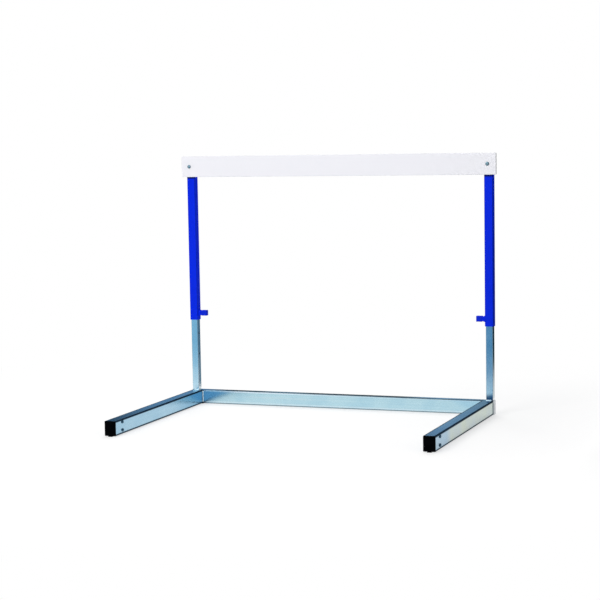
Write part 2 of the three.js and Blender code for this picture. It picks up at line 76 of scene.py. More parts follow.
MM = 0.001
PICTURE_SIZE = 600  # pixels, on both sides
SENSOR_WIDTH = 36.0  # millimetres, as Blender's lens length is
SMALLEST_RADIUS = 0.05 * MM
MERGE_DISTANCE = 0.001 * MM
SHARP_ANGLE = math.radians(38)
QUARTER = math.pi / 2
CORNER_STEPS = 8
BEVEL_STEPS = 4
ROUND_SIDES = 32
HEXAGON_SIDES = 6
WIRE_SIDES = 10
TUBE_WALL = 2.0 * MM
TUBE_CORNER_SHARE = 1.1  # a tube's outer corner radius over its wall
CUT_OVERRUN = 4.0 * MM
THROUGH_WALL = 4 * TUBE_WALL  # a hole's depth that goes through one wall and no further
LATCH_AXIS_HEIGHT = 338.0 * MM
SLIDING_BODY = "bar_frame"
SHARP_FADE = 1.0 * MM  # the length over which a marking on a surface ends
NOISE_RANGE = (0.3, 0.7)  # where nearly all values of a smooth noise lie
WHITE = (1.0, 1.0, 1.0)

Mesh = bpy.types.Mesh
Key = Union[str, int]  # a socket's name or number
Colour = tuple[float, float, float]
Place = tuple[float, float, float]
Pair = tuple[float, float]
Parts = tuple[float, ...]
Profile = list[Pair]  # insets from an outline, each with its place along the axis


class Side(Enum):
    """The left and right halves of the hurdle."""

    LEFT = "left"
    RIGHT = "right"

    @property
    def sign(self) -> int:
        """The sign of X on this side."""
        return 1 if self is Side.RIGHT else -1

    @property
    def outwards(self) -> "Facing":
        """The direction away from the middle."""
        return Facing.RIGHT if self is Side.RIGHT else Facing.LEFT

    @property
    def inwards(self) -> "Facing":
        """The direction to the middle."""
        return Facing.LEFT if self is Side.RIGHT else Facing.RIGHT

    def of(self, kind: str) -> str:
        """The name of this side's piece of a kind."""
        return f"{kind}_{self.value}"


class Facing(Enum):
    """The directions of a form's length and of its width; its height follows from both."""

    RIGHT = (Vector((1, 0, 0)), Vector((0, 1, 0)))
    LEFT = (Vector((-1, 0, 0)), Vector((0, -1, 0)))
    FRONT = (Vector((0, -1, 0)), Vector((1, 0, 0)))
    BACK = (Vector((0, 1, 0)), Vector((-1, 0, 0)))
    UP = (Vector((0, 0, 1)), Vector((1, 0, 0)))

    def matrix(self, x: float, y: float, z: float) -> Matrix:
        """Turns a form from its own axes and moves its origin to a place.

        Args:
            x: the place along X.
            y: the place along Y.
            z: the place along Z.

        Returns:
            The matrix that does both.
        """
        along, across = self.value
        turn = Matrix((across, along.cross(across), along)).transposed().to_4x4()
        return Matrix.Translation((x, y, z)) @ turn


class Drilling(Enum):
    """The axis of a hole, as the turn of the drill from the piece's own Z axis."""

    ALONG_X = (0.0, QUARTER, 0.0)
    ALONG_Y = (QUARTER, 0.0, 0.0)
    ALONG_Z = (0.0, 0.0, 0.0)


@dataclass(frozen=True)
class Box:
    """The box round a node of the frame."""

    low: Vector
    high: Vector

    @classmethod
    def of(cls, node: str) -> "Box":
        """Reads the box of a node by its name."""
        return cls(*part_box(node))

    @property
    def centre(self) -> Vector:
        """The middle of the box."""
        return (self.low + self.high) / 2

    @property
    def size(self) -> Vector:
        """The lengths of the box's sides."""
        return self.high - self.low

    def inner(self, side: Side) -> float:
        """Where along X the box ends towards the hurdle's middle."""
        return self.low.x if side is Side.RIGHT else self.high.x

    def outer(self, side: Side) -> float:
        """Where along X the box ends away from the hurdle's middle."""
        return self.high.x if side is Side.RIGHT else self.low.x

    def standing(self, height: float) -> Matrix:
        """Stands a form on the box's middle at a height."""
        return Facing.UP.matrix(self.centre.x, self.centre.y, height)

    def lying(self, facing: Facing, x: float) -> Matrix:
        """Lays a form along X on the box's middle."""
        return facing.matrix(x, self.centre.y, self.centre.z)


class Signal:
    """A node's output that can be used in expressions, which add Math nodes to its tree."""

    def __init__(self, tree: "Tree", socket: Optional[bpy.types.NodeSocket]) -> None:
        """Keeps the socket and the tree that it is in."""
        self.tree = tree
        self.socket = socket

    def _math(self, operation: str, *values: "Value") -> "Signal":
        """Adds a Math node to the tree and returns its result."""
        return self.tree.node("ShaderNodeMath", {"operation": operation}, dict(enumerate(values)))

    def __add__(self, other: "Value") -> "Signal":
        """This plus other."""
        return self._math("ADD", self, other)

    def __radd__(self, other: "Value") -> "Signal":
        """Other plus this."""
        return self._math("ADD", other, self)

    def __sub__(self, other: "Value") -> "Signal":
        """This less other."""
        return self._math("SUBTRACT", self, other)

    def __rsub__(self, other: "Value") -> "Signal":
        """Other less this."""
        return self._math("SUBTRACT", other, self)

    def __mul__(self, other: "Value") -> "Signal":
        """This times other."""
        return self._math("MULTIPLY", self, other)

    def __rmul__(self, other: "Value") -> "Signal":
        """Other times this."""
        return self._math("MULTIPLY", other, self)

    def __truediv__(self, other: "Value") -> "Signal":
        """This over other."""
        return self._math("DIVIDE", self, other)

    def __rtruediv__(self, other: "Value") -> "Signal":
        """Other over this."""
        return self._math("DIVIDE", other, self)

    def least(self, other: "Value") -> "Signal":
        """The smaller of this and other."""
        return self._math("MINIMUM", self, other)

    def most(self, other: "Value") -> "Signal":
        """The larger of this and other."""
        return self._math("MAXIMUM", self, other)

    def sine(self) -> "Signal":
        """The sine of this."""
        return self._math("SINE", self)

    def size(self) -> "Signal":
        """This without its sign."""
        return self._math("ABSOLUTE", self)

    def ease(self, low: float, high: float) -> "Signal":
        """Goes smoothly from 0 to 1 as this goes from low to high."""
        ends = {"Value": self, "From Min": low, "From Max": high}
        return self.tree.node("ShaderNodeMapRange", {"interpolation_type": "SMOOTHSTEP"}, ends)

    def spread(self) -> "Signal":
        """Stretches a smooth noise to the whole range from 0 to 1."""
        return self.ease(*NOISE_RANGE)


Value = Union[Signal, float]


class Tree:
    """Adds nodes to a node tree from plain values and signals."""

    def __init__(self, tree: bpy.types.NodeTree) -> None:
        """Keeps the tree that the nodes go into."""
        self.tree = tree

    def node(
        self,
        kind: str,
        settings: Optional[dict[str, Any]] = None,
        inputs: Optional[dict[Key, Any]] = None,
        output: Key = 0,
    ) -> Signal:
        """Adds one node.

        Args:
            kind: the node's type.
            settings: the node's own properties, set first; stops are a colour ramp's.
            inputs: a value or a signal for each socket, by name or by number.
            output: the name or number of the output that is wanted.

        Returns:
            That output, or a signal without a socket where the node ends the tree.
        """
        made = self.tree.nodes.new(kind)
        for key, value in (settings or {}).items():
            if key == "stops":
                self._set_stops(made, value)
            else:
                setattr(made, key, value)
        for key, value in (inputs or {}).items():
            self._feed(self._socket(made.inputs, key), value)
        return Signal(self, self._socket(made.outputs, output) if made.outputs else None)

    def seen(self) -> Signal:
        """Tells a place that is seen from one that only lights others.

        Returns:
            One where it is seen, also in metal or through glass, and zero elsewhere.
        """
        rays = ("Is Camera Ray", "Is Glossy Ray", "Is Transmission Ray")
        camera, glossy, through = (self.node("ShaderNodeLightPath", output=label) for label in rays)
        return camera.most(glossy).most(through)

    @staticmethod
    def _socket(sockets: Iterable[bpy.types.NodeSocket], key: Key) -> bpy.types.NodeSocket:
        """Finds a socket by name or number among those in use."""
        usable = [socket for socket in sockets if not socket.is_unavailable]
        return usable[key] if isinstance(key, int) else next(one for one in usable if one.name == key)

    def _feed(self, socket: bpy.types.NodeSocket, value: Any) -> None:
        """Links a signal to a socket, or sets the socket's own value.

        Args:
            socket: the socket.
            value: a signal, or a plain value that suits the socket.
        """
        if isinstance(value, Signal):
            self.tree.links.new(value.socket, socket)
        elif socket.type == "RGBA":
            socket.default_value = (*value[:3], 1.0)
        else:
            socket.default_value = value

    @staticmethod
    def _set_stops(ramp: bpy.types.Node, stops: Sequence[tuple[float, Colour]]) -> None:
        """Gives a colour ramp its stops.

        Args:
            ramp: the ramp's node.
            stops: the places along the ramp, each with its colour.
        """
        elements = ramp.color_ramp.elements
        while len(elements) < len(stops):
            elements.new(1.0)
        for element, (position, colour) in zip(elements, stops):
            element.position = position
            element.color = (*colour, 1.0)


class Shading(Tree):
    """A material's tree, with the patterns that the finishes share."""

    def __init__(self, name: str) -> None:
        """Starts an empty material.

        Args:
            name: the material's name.
        """
        self.material = bpy.data.materials.new(name)
        self.material.use_nodes = True
        super().__init__(self.material.node_tree)
        self.tree.nodes.clear()

    def place(self, stretch: Place = (1.0, 1.0, 1.0)) -> Signal:
        """The place on the object, with each axis multiplied by its stretch."""
        own = self.node("ShaderNodeTexCoord", output="Object")
        return self.node("ShaderNodeMapping", inputs={"Vector": own, "Scale": stretch})

    def along(self, axis: str) -> Signal:
        """The place on the object along one axis."""
        return self.node("ShaderNodeSeparateXYZ", inputs={"Vector": self.place()}, output=axis)

    def cells(self, scale: float) -> Signal:
        """Gives each cell of an uneven mosaic a random value.

        Args:
            scale: how many cells there are in a metre.

        Returns:
            The values.
        """
        inputs = {"Vector": self.place(), "Scale": scale}
        mosaic = self.node("ShaderNodeTexVoronoi", inputs=inputs, output="Color")
        return self.node("ShaderNodeSeparateColor", inputs={"Color": mosaic})

    def attribute(self, name: str) -> Signal:
        """A value that the mesh holds at each of its points."""
        return self.node("ShaderNodeAttribute", {"attribute_name": name}, output="Fac")

    def mix(self, factor: Value, first: Any, second: Any) -> Signal:
        """A colour that goes from the first to the second with the factor."""
        return self.node("ShaderNodeMix", {"data_type": "RGBA"}, {"Factor": factor, "A": first, "B": second})

    def bump(self, height: Signal, depth: float) -> Signal:
        """Normals that follow a height, which is at most depth from its lowest to its highest."""
        return self.node("ShaderNodeBump", inputs={"Height": height, "Distance": depth, "Strength": 1.0})

    def glow(self, colour: Any) -> Signal:
        """A plain light of this colour."""
        return self.node("ShaderNodeEmission", inputs={"Color": colour, "Strength": 1.0})

    def end(self, shader: Signal) -> bpy.types.Material:
        """Ends the material with this shader and returns it."""
        self.node("ShaderNodeOutputMaterial", inputs={"Surface": shader})
        return self.material


@dataclass(frozen=True)
class Pattern:
    """Smooth random values about one half, which vary over the object."""

    scale: float
    detail: float = 2.0
    stretch: Place = (1.0, 1.0, 1.0)

    def over(self, shading: Shading) -> Signal:
        """Lays the pattern over the object."""
        inputs = {"Vector": shading.place(self.stretch), "Scale": self.scale, "Detail": self.detail}
        return shading.node("ShaderNodeTexNoise", inputs=inputs)


@dataclass(frozen=True)
class Finish:
    """A material, and the slot of the model that it is for."""

    slot: str
    material: bpy.types.Material


@dataclass(frozen=True)
class Recipe:
    """How a finish is made; each kind works out the shader's sockets in its own way."""

    name: str
    slot: str

    def finish(self) -> Finish:
        """Builds the material.

        Returns:
            The finish, with its slot.
        """
        shading = Shading(self.name)
        sockets = self._sockets(shading)
        return Finish(self.slot, shading.end(shading.node("ShaderNodeBsdfPrincipled", inputs=sockets)))

    def _sockets(self, shading: Shading) -> dict[str, Any]:
        """What each socket of the shader gets."""
        raise NotImplementedError


class Grain(Enum):
    """The axis along which a tube was drawn, as the stretch of its pattern."""

    ALONG_X = (0.02, 1.0, 1.0)
    ALONG_Y = (1.0, 0.02, 1.0)
    ALONG_Z = (1.0, 1.0, 0.02)


@dataclass(frozen=True)
class TubeEdges:
    """Where the long edges of a tube, or of a pair on both sides of the middle, lie in its section."""

    axes: str  # the two axes across the tube
    centre: Parts
    half_size: Parts

    @classmethod
    def of(cls, node: str, axes: str) -> "TubeEdges":
        """Reads them from the box of a node that lies on the side of positive X, or across the middle.

        Args:
            node: the node's name.
            axes: the two axes across the tube.

        Returns:
            The edges.
        """
        box = Box.of(node)
        picks = ["XYZ".index(axis) for axis in axes]
        return cls(axes, tuple(box.centre[i] for i in picks), tuple(box.size[i] / 2 for i in picks))

    def distance(self, shading: Shading) -> Signal:
        """Measures how far each place on the tube is from its nearest long edge.

        Args:
            shading: the material's tree.

        Returns:
            The distance along the side that the place is on.
        """
        inside = []
        for axis, centre, half in zip(self.axes, self.centre, self.half_size):
            along = shading.along(axis)
            if axis == "X":
                along = along.size()
            inside.append(half - (along - centre).size())
        return inside[0].most(inside[1])


@dataclass(frozen=True)
class Tint:
    """A change of colour over part of a tube; beside the welds and at the posts' feet it paints shade,
    reflection and highlights.
    """

    colour: Colour
    reach: Place  # how much a metre outwards along X, along Y and along Z counts towards the tint
    start: float
    end: float
    left: float  # how strong it is on the hurdle's left half
    right: float
    inside_of: float = 1.0  # the distance from the hurdle's middle past which nothing is tinted

    def strength(self, shading: Shading) -> Signal:
        """Works out how strong the tint is.

        Args:
            shading: the material's tree.

        Returns:
            The strength, 0 to 1.
        """
        along_x = shading.along("X")
        outwards = along_x.size()
        towards = outwards * self.reach[0]
        towards = towards + shading.along("Y") * self.reach[1]
        towards = towards + shading.along("Z") * self.reach[2]
        inside = 1.0 - outwards.ease(self.inside_of - SHARP_FADE / 2, self.inside_of)
        half = along_x.ease(-SHARP_FADE, SHARP_FADE)
        return towards.ease(self.start, self.end) * inside * (half * (self.right - self.left) + self.left)


@dataclass(frozen=True)
class ZincPlate(Recipe):
    """Bright zinc plating on drawn steel: cool and cloudy, lined along the tube, with painted reflections and
    highlights along its edges.
    """

    grain: Grain
    edges: TubeEdges
    edge_width: Pair  # of the painted dark reflection line on each side of a lower edge, and of an upper one
    painted_reflection_strength: Pair  # how dark the painted reflection is on the lower edges, and on the upper ones
    tints: tuple[Tint, ...]
    pale: Colour = (0.60, 0.79, 0.88)
    cool: Colour = (0.44, 0.66, 0.79)
    # the colour of the painted dark reflections on the edges
    painted_reflection: Colour = (0.004, 0.02, 0.045)
    dull: Colour = (0.62, 0.72, 0.74)
    # painted reflection: the legs' outer sides get yellow to violet tones for the floor that they mirror
    outer_side_yellow: Colour = (0.48, 0.56, 0.46)
    outer_side_violet: Colour = (0.41, 0.51, 0.57)
    outer_side_from: float = 0.5688  # from the hurdle's middle: only the legs' outer sides lie past it
    upper_from: float = 0.03  # the height between a tube's lower and upper edges
    painted_highlights: Pair = (0.0, 0.0)  # how strong the painted highlight strips beside the lower and the upper edges are
    # the colour of the painted highlight strips
    painted_highlight: Colour = (0.84, 0.93, 0.98)
    highlight_fade: Pair = (-0.45, 0.3)  # between these places along X the upper painted highlight strip grows faint
    highlight_loss: float = 0.8  # how much of it is lost there
    # how far inside the edge a painted highlight strip starts, is full, begins to fade and ends
    upper_highlight: Parts = (8.0 * MM, 3.5 * MM, 1.9 * MM, 1.0 * MM)
    lower_highlight: Parts = (12.0 * MM, 5.0 * MM, 4.0 * MM, 2.5 * MM)
    line_scale: float = 900.0
    streak_scale: float = 120.0
    clouds: Pattern = Pattern(14.0, 4.0)
    crystal_scale: float = 260.0
    outer_side_hues: Pattern = Pattern(9.0, 3.0)
    outer_side_hue_range: Pair = (0.2, 0.8)  # of the pattern, from the yellow tone to the violet one
    dull_range: Pair = (0.66, 0.72)  # of the streaks, where they turn dull
    dull_share: float = 0.25
    tone_parts: Parts = (0.5, 0.25, 0.15, 0.1)  # of clouds, streaks, drawn lines and crystals
    height_parts: Parts = (0.5, 0.3, 0.2)  # of drawn lines, crystals and clouds
    height: float = 0.012 * MM
    tint_cover: Pair = (0.8, 0.3)  # how well tints cover, and what clouds add to it
    line_cover: Pair = (0.85, 0.3)  # how well the painted dark reflection lines cover, and what drawn lines add
    line_core: float = 0.6  # the share of a painted dark reflection line that is fully dark
    line_bare: float = 0.9  # how much less metallic a painted dark reflection line is
    roughness: Parts = (0.12, 0.06, 0.1, 0.1)  # at least, and from lines, clouds and painted dark reflection lines

    def _sockets(self, shading: Shading) -> dict[str, Any]:
        """Lays the patterns over each other.

        Args:
            shading: the material's tree.

        Returns:
            What each socket of the shader gets.
        """
        drawn = Pattern(self.line_scale, stretch=self.grain.value).over(shading)
        streak = Pattern(self.streak_scale, stretch=self.grain.value).over(shading)
        cloud = self.clouds.over(shading)
        crystals = shading.cells(self.crystal_scale)
        by_cloud, by_streak, by_line, by_crystal = self.tone_parts
        tone = cloud.spread() * by_cloud + streak.spread() * by_streak
        tone = tone + drawn * by_line + crystals * by_crystal
        colour = shading.mix(tone, self.cool, self.pale)
        colour = shading.mix(streak.ease(*self.dull_range) * self.dull_share, colour, self.dull)
        # painted reflection on the legs' outer sides alone
        outer_side = shading.along("X").size().ease(self.outer_side_from, self.outer_side_from + SHARP_FADE)
        hue = self.outer_side_hues.over(shading).ease(*self.outer_side_hue_range)
        colour = shading.mix(outer_side, colour, shading.mix(hue, self.outer_side_yellow, self.outer_side_violet))
        # tints: painted shade, reflection and highlights beside the joints, and a bluer tone at the legs'
        # front ends
        cover, more_cover = self.tint_cover
        for tint in self.tints:
            strength = tint.strength(shading) * (cover + cloud * more_cover).least(1.0)
            colour = shading.mix(strength, colour, tint.colour)
        cover, more_cover = self.line_cover
        # painted reflection: dark lines along the rounded edges, less metallic and rougher there
        wear_and_painted_reflection = self._painted_edge_reflection(shading) * (cover + drawn * more_cover).least(1.0)
        # painted highlights: light strips beside the edges, which cover the dark lines
        if any(self.painted_highlights):
            painted_highlight = self._painted_highlight_strength(shading)
            colour = shading.mix(painted_highlight, colour, self.painted_highlight)
            wear_and_painted_reflection = wear_and_painted_reflection * (1.0 - painted_highlight)
        by_line, by_crystal, by_cloud = self.height_parts
        height = drawn * by_line + crystals * by_crystal + cloud * by_cloud
        least, by_line, by_cloud, by_painted_line = self.roughness
        return {
            "Base Color": shading.mix(wear_and_painted_reflection, colour, self.painted_reflection),
            "Metallic": 1.0 - wear_and_painted_reflection * self.line_bare,
            "Roughness": least + drawn * by_line + cloud * by_cloud + wear_and_painted_reflection * by_painted_line,
            "Specular IOR Level": 0.0,
            "Normal": shading.bump(height, self.height),
        }

    def _painted_highlight_strength(self, shading: Shading) -> Signal:
        """Paints highlight strips along the tube's upright sides, beside the painted dark reflection lines.

        Args:
            shading: the material's tree.

        Returns:
            The strips' strength.
        """
        height = shading.along("Z") - self.edges.centre[1]
        faint = 1.0 - shading.along("X").ease(*self.highlight_fade) * self.highlight_loss
        upper = self._strip(height, self.upper_highlight) * faint
        return self._strip(0.0 - height, self.lower_highlight) * self.painted_highlights[0] + upper * self.painted_highlights[1]

    def _strip(self, outwards: Signal, insets: Parts) -> Signal:
        """Paints one highlight strip beside an edge.

        Args:
            outwards: the distance from the tube's middle towards the edge.
            insets: where the strip starts, is full, fades and ends, from the edge.

        Returns:
            The strip's strength.
        """
        start, full, fading, end = (self.edges.half_size[1] - inset for inset in insets)
        return outwards.ease(start, full) * (1.0 - outwards.ease(fading, end))

    def _painted_edge_reflection(self, shading: Shading) -> Signal:
        """Paints dark reflection lines on the tube's rounded edges.

        Args:
            shading: the material's tree.

        Returns:
            The lines' strength.
        """
        upper = shading.along("Z").ease(self.upper_from, self.upper_from + SHARP_FADE)
        ranges = (self.edge_width, self.painted_reflection_strength)
        width, painted_reflection = (upper * (above - below) + below for below, above in ranges)
        return painted_reflection * (1.0 - (self.edges.distance(shading) / width).ease(self.line_core, 1.0))


@dataclass(frozen=True)
class PowderCoat(Recipe):
    """Glossy blue powder coat with a fine orange peel, with painted shade on its rounded corners and a
    painted shadow under the board.
    """

    board_underside: float
    sleeve_front: float
    painted_shadow_height: float = 10.0 * MM  # the painted shadow is full from a third of this below the board
    full: Colour = (0.0, 0.022, 0.78)
    deep: Colour = (0.0, 0.015, 0.64)
    # the colour of the painted shade on the rounded corners
    corner: Colour = (0.001, 0.012, 0.28)
    # the colour of the painted shadow under the board
    painted_shadow: Colour = (0.001, 0.008, 0.12)
    peel: Pattern = Pattern(420.0, 1.0)
    clouds: Pattern = Pattern(9.0, 3.0)
    scuffs: Pattern = Pattern(60.0, 6.0, (1.0, 1.0, 0.12))
    scuff_range: Pair = (0.62, 0.74)  # of the pattern, where scuffs show
    deep_share: float = 0.5
    corner_shade_cover: Pair = (0.6, 0.4)  # how well the painted corner shade covers, and what peel adds
    painted_shadow_behind: Pair = (2.0 * MM, 6.0 * MM)  # from the sleeve's front: where the painted shadow ends
    painted_shadow_strength: float = 0.9
    roughness: Parts = (0.34, 0.2, 0.06)  # at least, and from scuffs and peel
    specular: float = 0.06
    height: float = 0.03 * MM

    def _sockets(self, shading: Shading) -> dict[str, Any]:
        """Lays the patterns over each other.

        Args:
            shading: the material's tree.

        Returns:
            What each socket of the shader gets.
        """
        peel = self.peel.over(shading)
        scuff = self.scuffs.over(shading).ease(*self.scuff_range)
        # painted shade on the rounded corners
        cover, more_cover = self.corner_shade_cover
        corner = shading.attribute("corner") * (cover + peel * more_cover)
        colour = shading.mix(self.clouds.over(shading) * self.deep_share, self.full, self.deep)
        colour = shading.mix(corner, colour, self.corner)
        # painted shadow: a dark band on the sleeve's front just under the board
        height = shading.along("Z")
        underside, reach = self.board_underside, self.painted_shadow_height
        below = height.ease(underside - reach, underside - reach / 3)
        above = height.ease(underside, underside + reach)
        nearer, farther = (self.sleeve_front + depth for depth in self.painted_shadow_behind)
        behind = shading.along("Y").ease(nearer, farther)
        painted_shadow_mask = below * (1.0 - above) * (1.0 - behind) * self.painted_shadow_strength
        least, by_scuff, by_peel = self.roughness
        return {
            "Base Color": shading.mix(painted_shadow_mask, colour, self.painted_shadow),
            "Roughness": least + scuff * by_scuff + peel * by_peel,
            "Specular IOR Level": self.specular,
            "Normal": shading.bump(peel, self.height),
        }


@dataclass(frozen=True)
class Moulded(Recipe):
    """Moulded plastic or rubber: an even colour with a fine spark-eroded grain and dull rub marks."""

    full: Colour
    dull: Colour
    roughness: float = 0.42
    specular: float = 0.35
    grain: Pattern = Pattern(1400.0)
    rubs: Pattern = Pattern(35.0, 4.0)
    rub_range: Pair = (0.45, 0.75)  # of the pattern, where rub marks show
    dull_parts: Pair = (0.6, 0.2)  # of rub marks and grain
    rough_parts: Pair = (0.12, 0.08)  # of the same
    height: float = 0.02 * MM

    def _sockets(self, shading: Shading) -> dict[str, Any]:
        """Lays the rub marks over the grain.

        Args:
            shading: the material's tree.

        Returns:
            What each socket of the shader gets.
        """
        grain = self.grain.over(shading)
        rub = self.rubs.over(shading).ease(*self.rub_range)
        parts = (self.dull_parts, self.rough_parts)
        dull, rough = (rub * by_rub + grain * by_grain for by_rub, by_grain in parts)
        return {
            "Base Color": shading.mix(dull, self.full, self.dull),
            "Roughness": self.roughness + rough,
            "Specular IOR Level": self.specular,
            "Normal": shading.bump(grain, self.height),
        }


@dataclass(frozen=True)
class BoardFace(Recipe):
    """The crossbar's white face: faint streaks along it, a greyer tone on its rubbed edges and painted light
    on its end faces.
    """

    end: float  # where the board's sawn ends are, from the middle
    white: Colour = (0.86, 0.855, 0.90)
    cool: Colour = (0.81, 0.82, 0.87)
    rubbed: Colour = (0.72, 0.75, 0.80)
    # painted light: the end faces, which stand in shade, are made lighter
    painted_end_light: Colour = (0.98, 0.98, 0.98)
    painted_end_light_fade: Pair = (1.0 * MM, 0.2 * MM)  # from the end: where the painted light starts and is full
    streaks: Pattern = Pattern(160.0, 3.0, (0.03, 1.0, 1.0))
    clouds: Pattern = Pattern(7.0, 3.0)
    grain: Pattern = Pattern(900.0, 1.0)
    scuffs: Pattern = Pattern(45.0, 8.0, (0.25, 1.0, 1.0))
    scuff_range: Pair = (0.64, 0.78)  # of the pattern, where scuffs show
    edge_cover: Pair = (0.35, 0.4)  # how well the rubbed edges cover, and what clouds add
    scuff_cover: float = 0.12
    cool_parts: Pair = (0.3, 0.4)  # of streaks and clouds
    roughness: Parts = (0.38, 0.08, 0.15)  # at least, and from streaks and scuffs
    specular: float = 0.35
    height: float = 0.02 * MM

    def _sockets(self, shading: Shading) -> dict[str, Any]:
        """Lays the patterns over each other.

        Args:
            shading: the material's tree.

        Returns:
            What each socket of the shader gets.
        """
        streak, cloud = self.streaks.over(shading), self.clouds.over(shading)
        scuff = self.scuffs.over(shading).ease(*self.scuff_range)
        cover, more_cover = self.edge_cover
        wear_and_painted_reflection = shading.attribute("corner") * (cover + cloud * more_cover) + scuff * self.scuff_cover
        by_streak, by_cloud = self.cool_parts
        colour = shading.mix(streak * by_streak + cloud * by_cloud, self.white, self.cool)
        colour = shading.mix(wear_and_painted_reflection, colour, self.rubbed)
        # painted light on the end faces
        start, full = (self.end - inset for inset in self.painted_end_light_fade)
        painted_end_light = shading.along("X").size().ease(start, full)
        height = self.grain.over(shading) * 0.5 + streak * 0.5
        least, by_streak, by_scuff = self.roughness
        return {
            "Base Color": shading.mix(painted_end_light, colour, self.painted_end_light),
            "Roughness": least + streak * by_streak + scuff * by_scuff,
            "Specular IOR Level": self.specular,
            "Normal": shading.bump(height, self.height),
        }


@dataclass(frozen=True)
class Steel(Recipe):
    """Bare, plated or welded steel without a direction: small pieces, wire and beads."""

    pale: Colour
    dark: Colour
    roughness: float
    mottle_scale: float = 300.0
    mottle_detail: float = 4.0
    mottles_per_cloud: float = 6.0
    dark_parts: Pair = (0.6, 0.4)  # of mottles and clouds
    mottle_roughness: float = 0.15
    height: float = 0.02 * MM
    metallic: float = 1.0

    def _sockets(self, shading: Shading) -> dict[str, Any]:
        """Mottles the surface.

        Args:
            shading: the material's tree.

        Returns:
            What each socket of the shader gets.
        """
        mottle = Pattern(self.mottle_scale, self.mottle_detail).over(shading)
        cloud = Pattern(self.mottle_scale / self.mottles_per_cloud).over(shading)
        by_mottle, by_cloud = self.dark_parts
        dark = mottle.spread() * by_mottle + cloud * by_cloud
        return {
            "Base Color": shading.mix(dark, self.pale, self.dark),
            "Metallic": self.metallic,
            "Roughness": self.roughness + mottle * self.mottle_roughness,
            "Normal": shading.bump(mottle, self.height),
        }


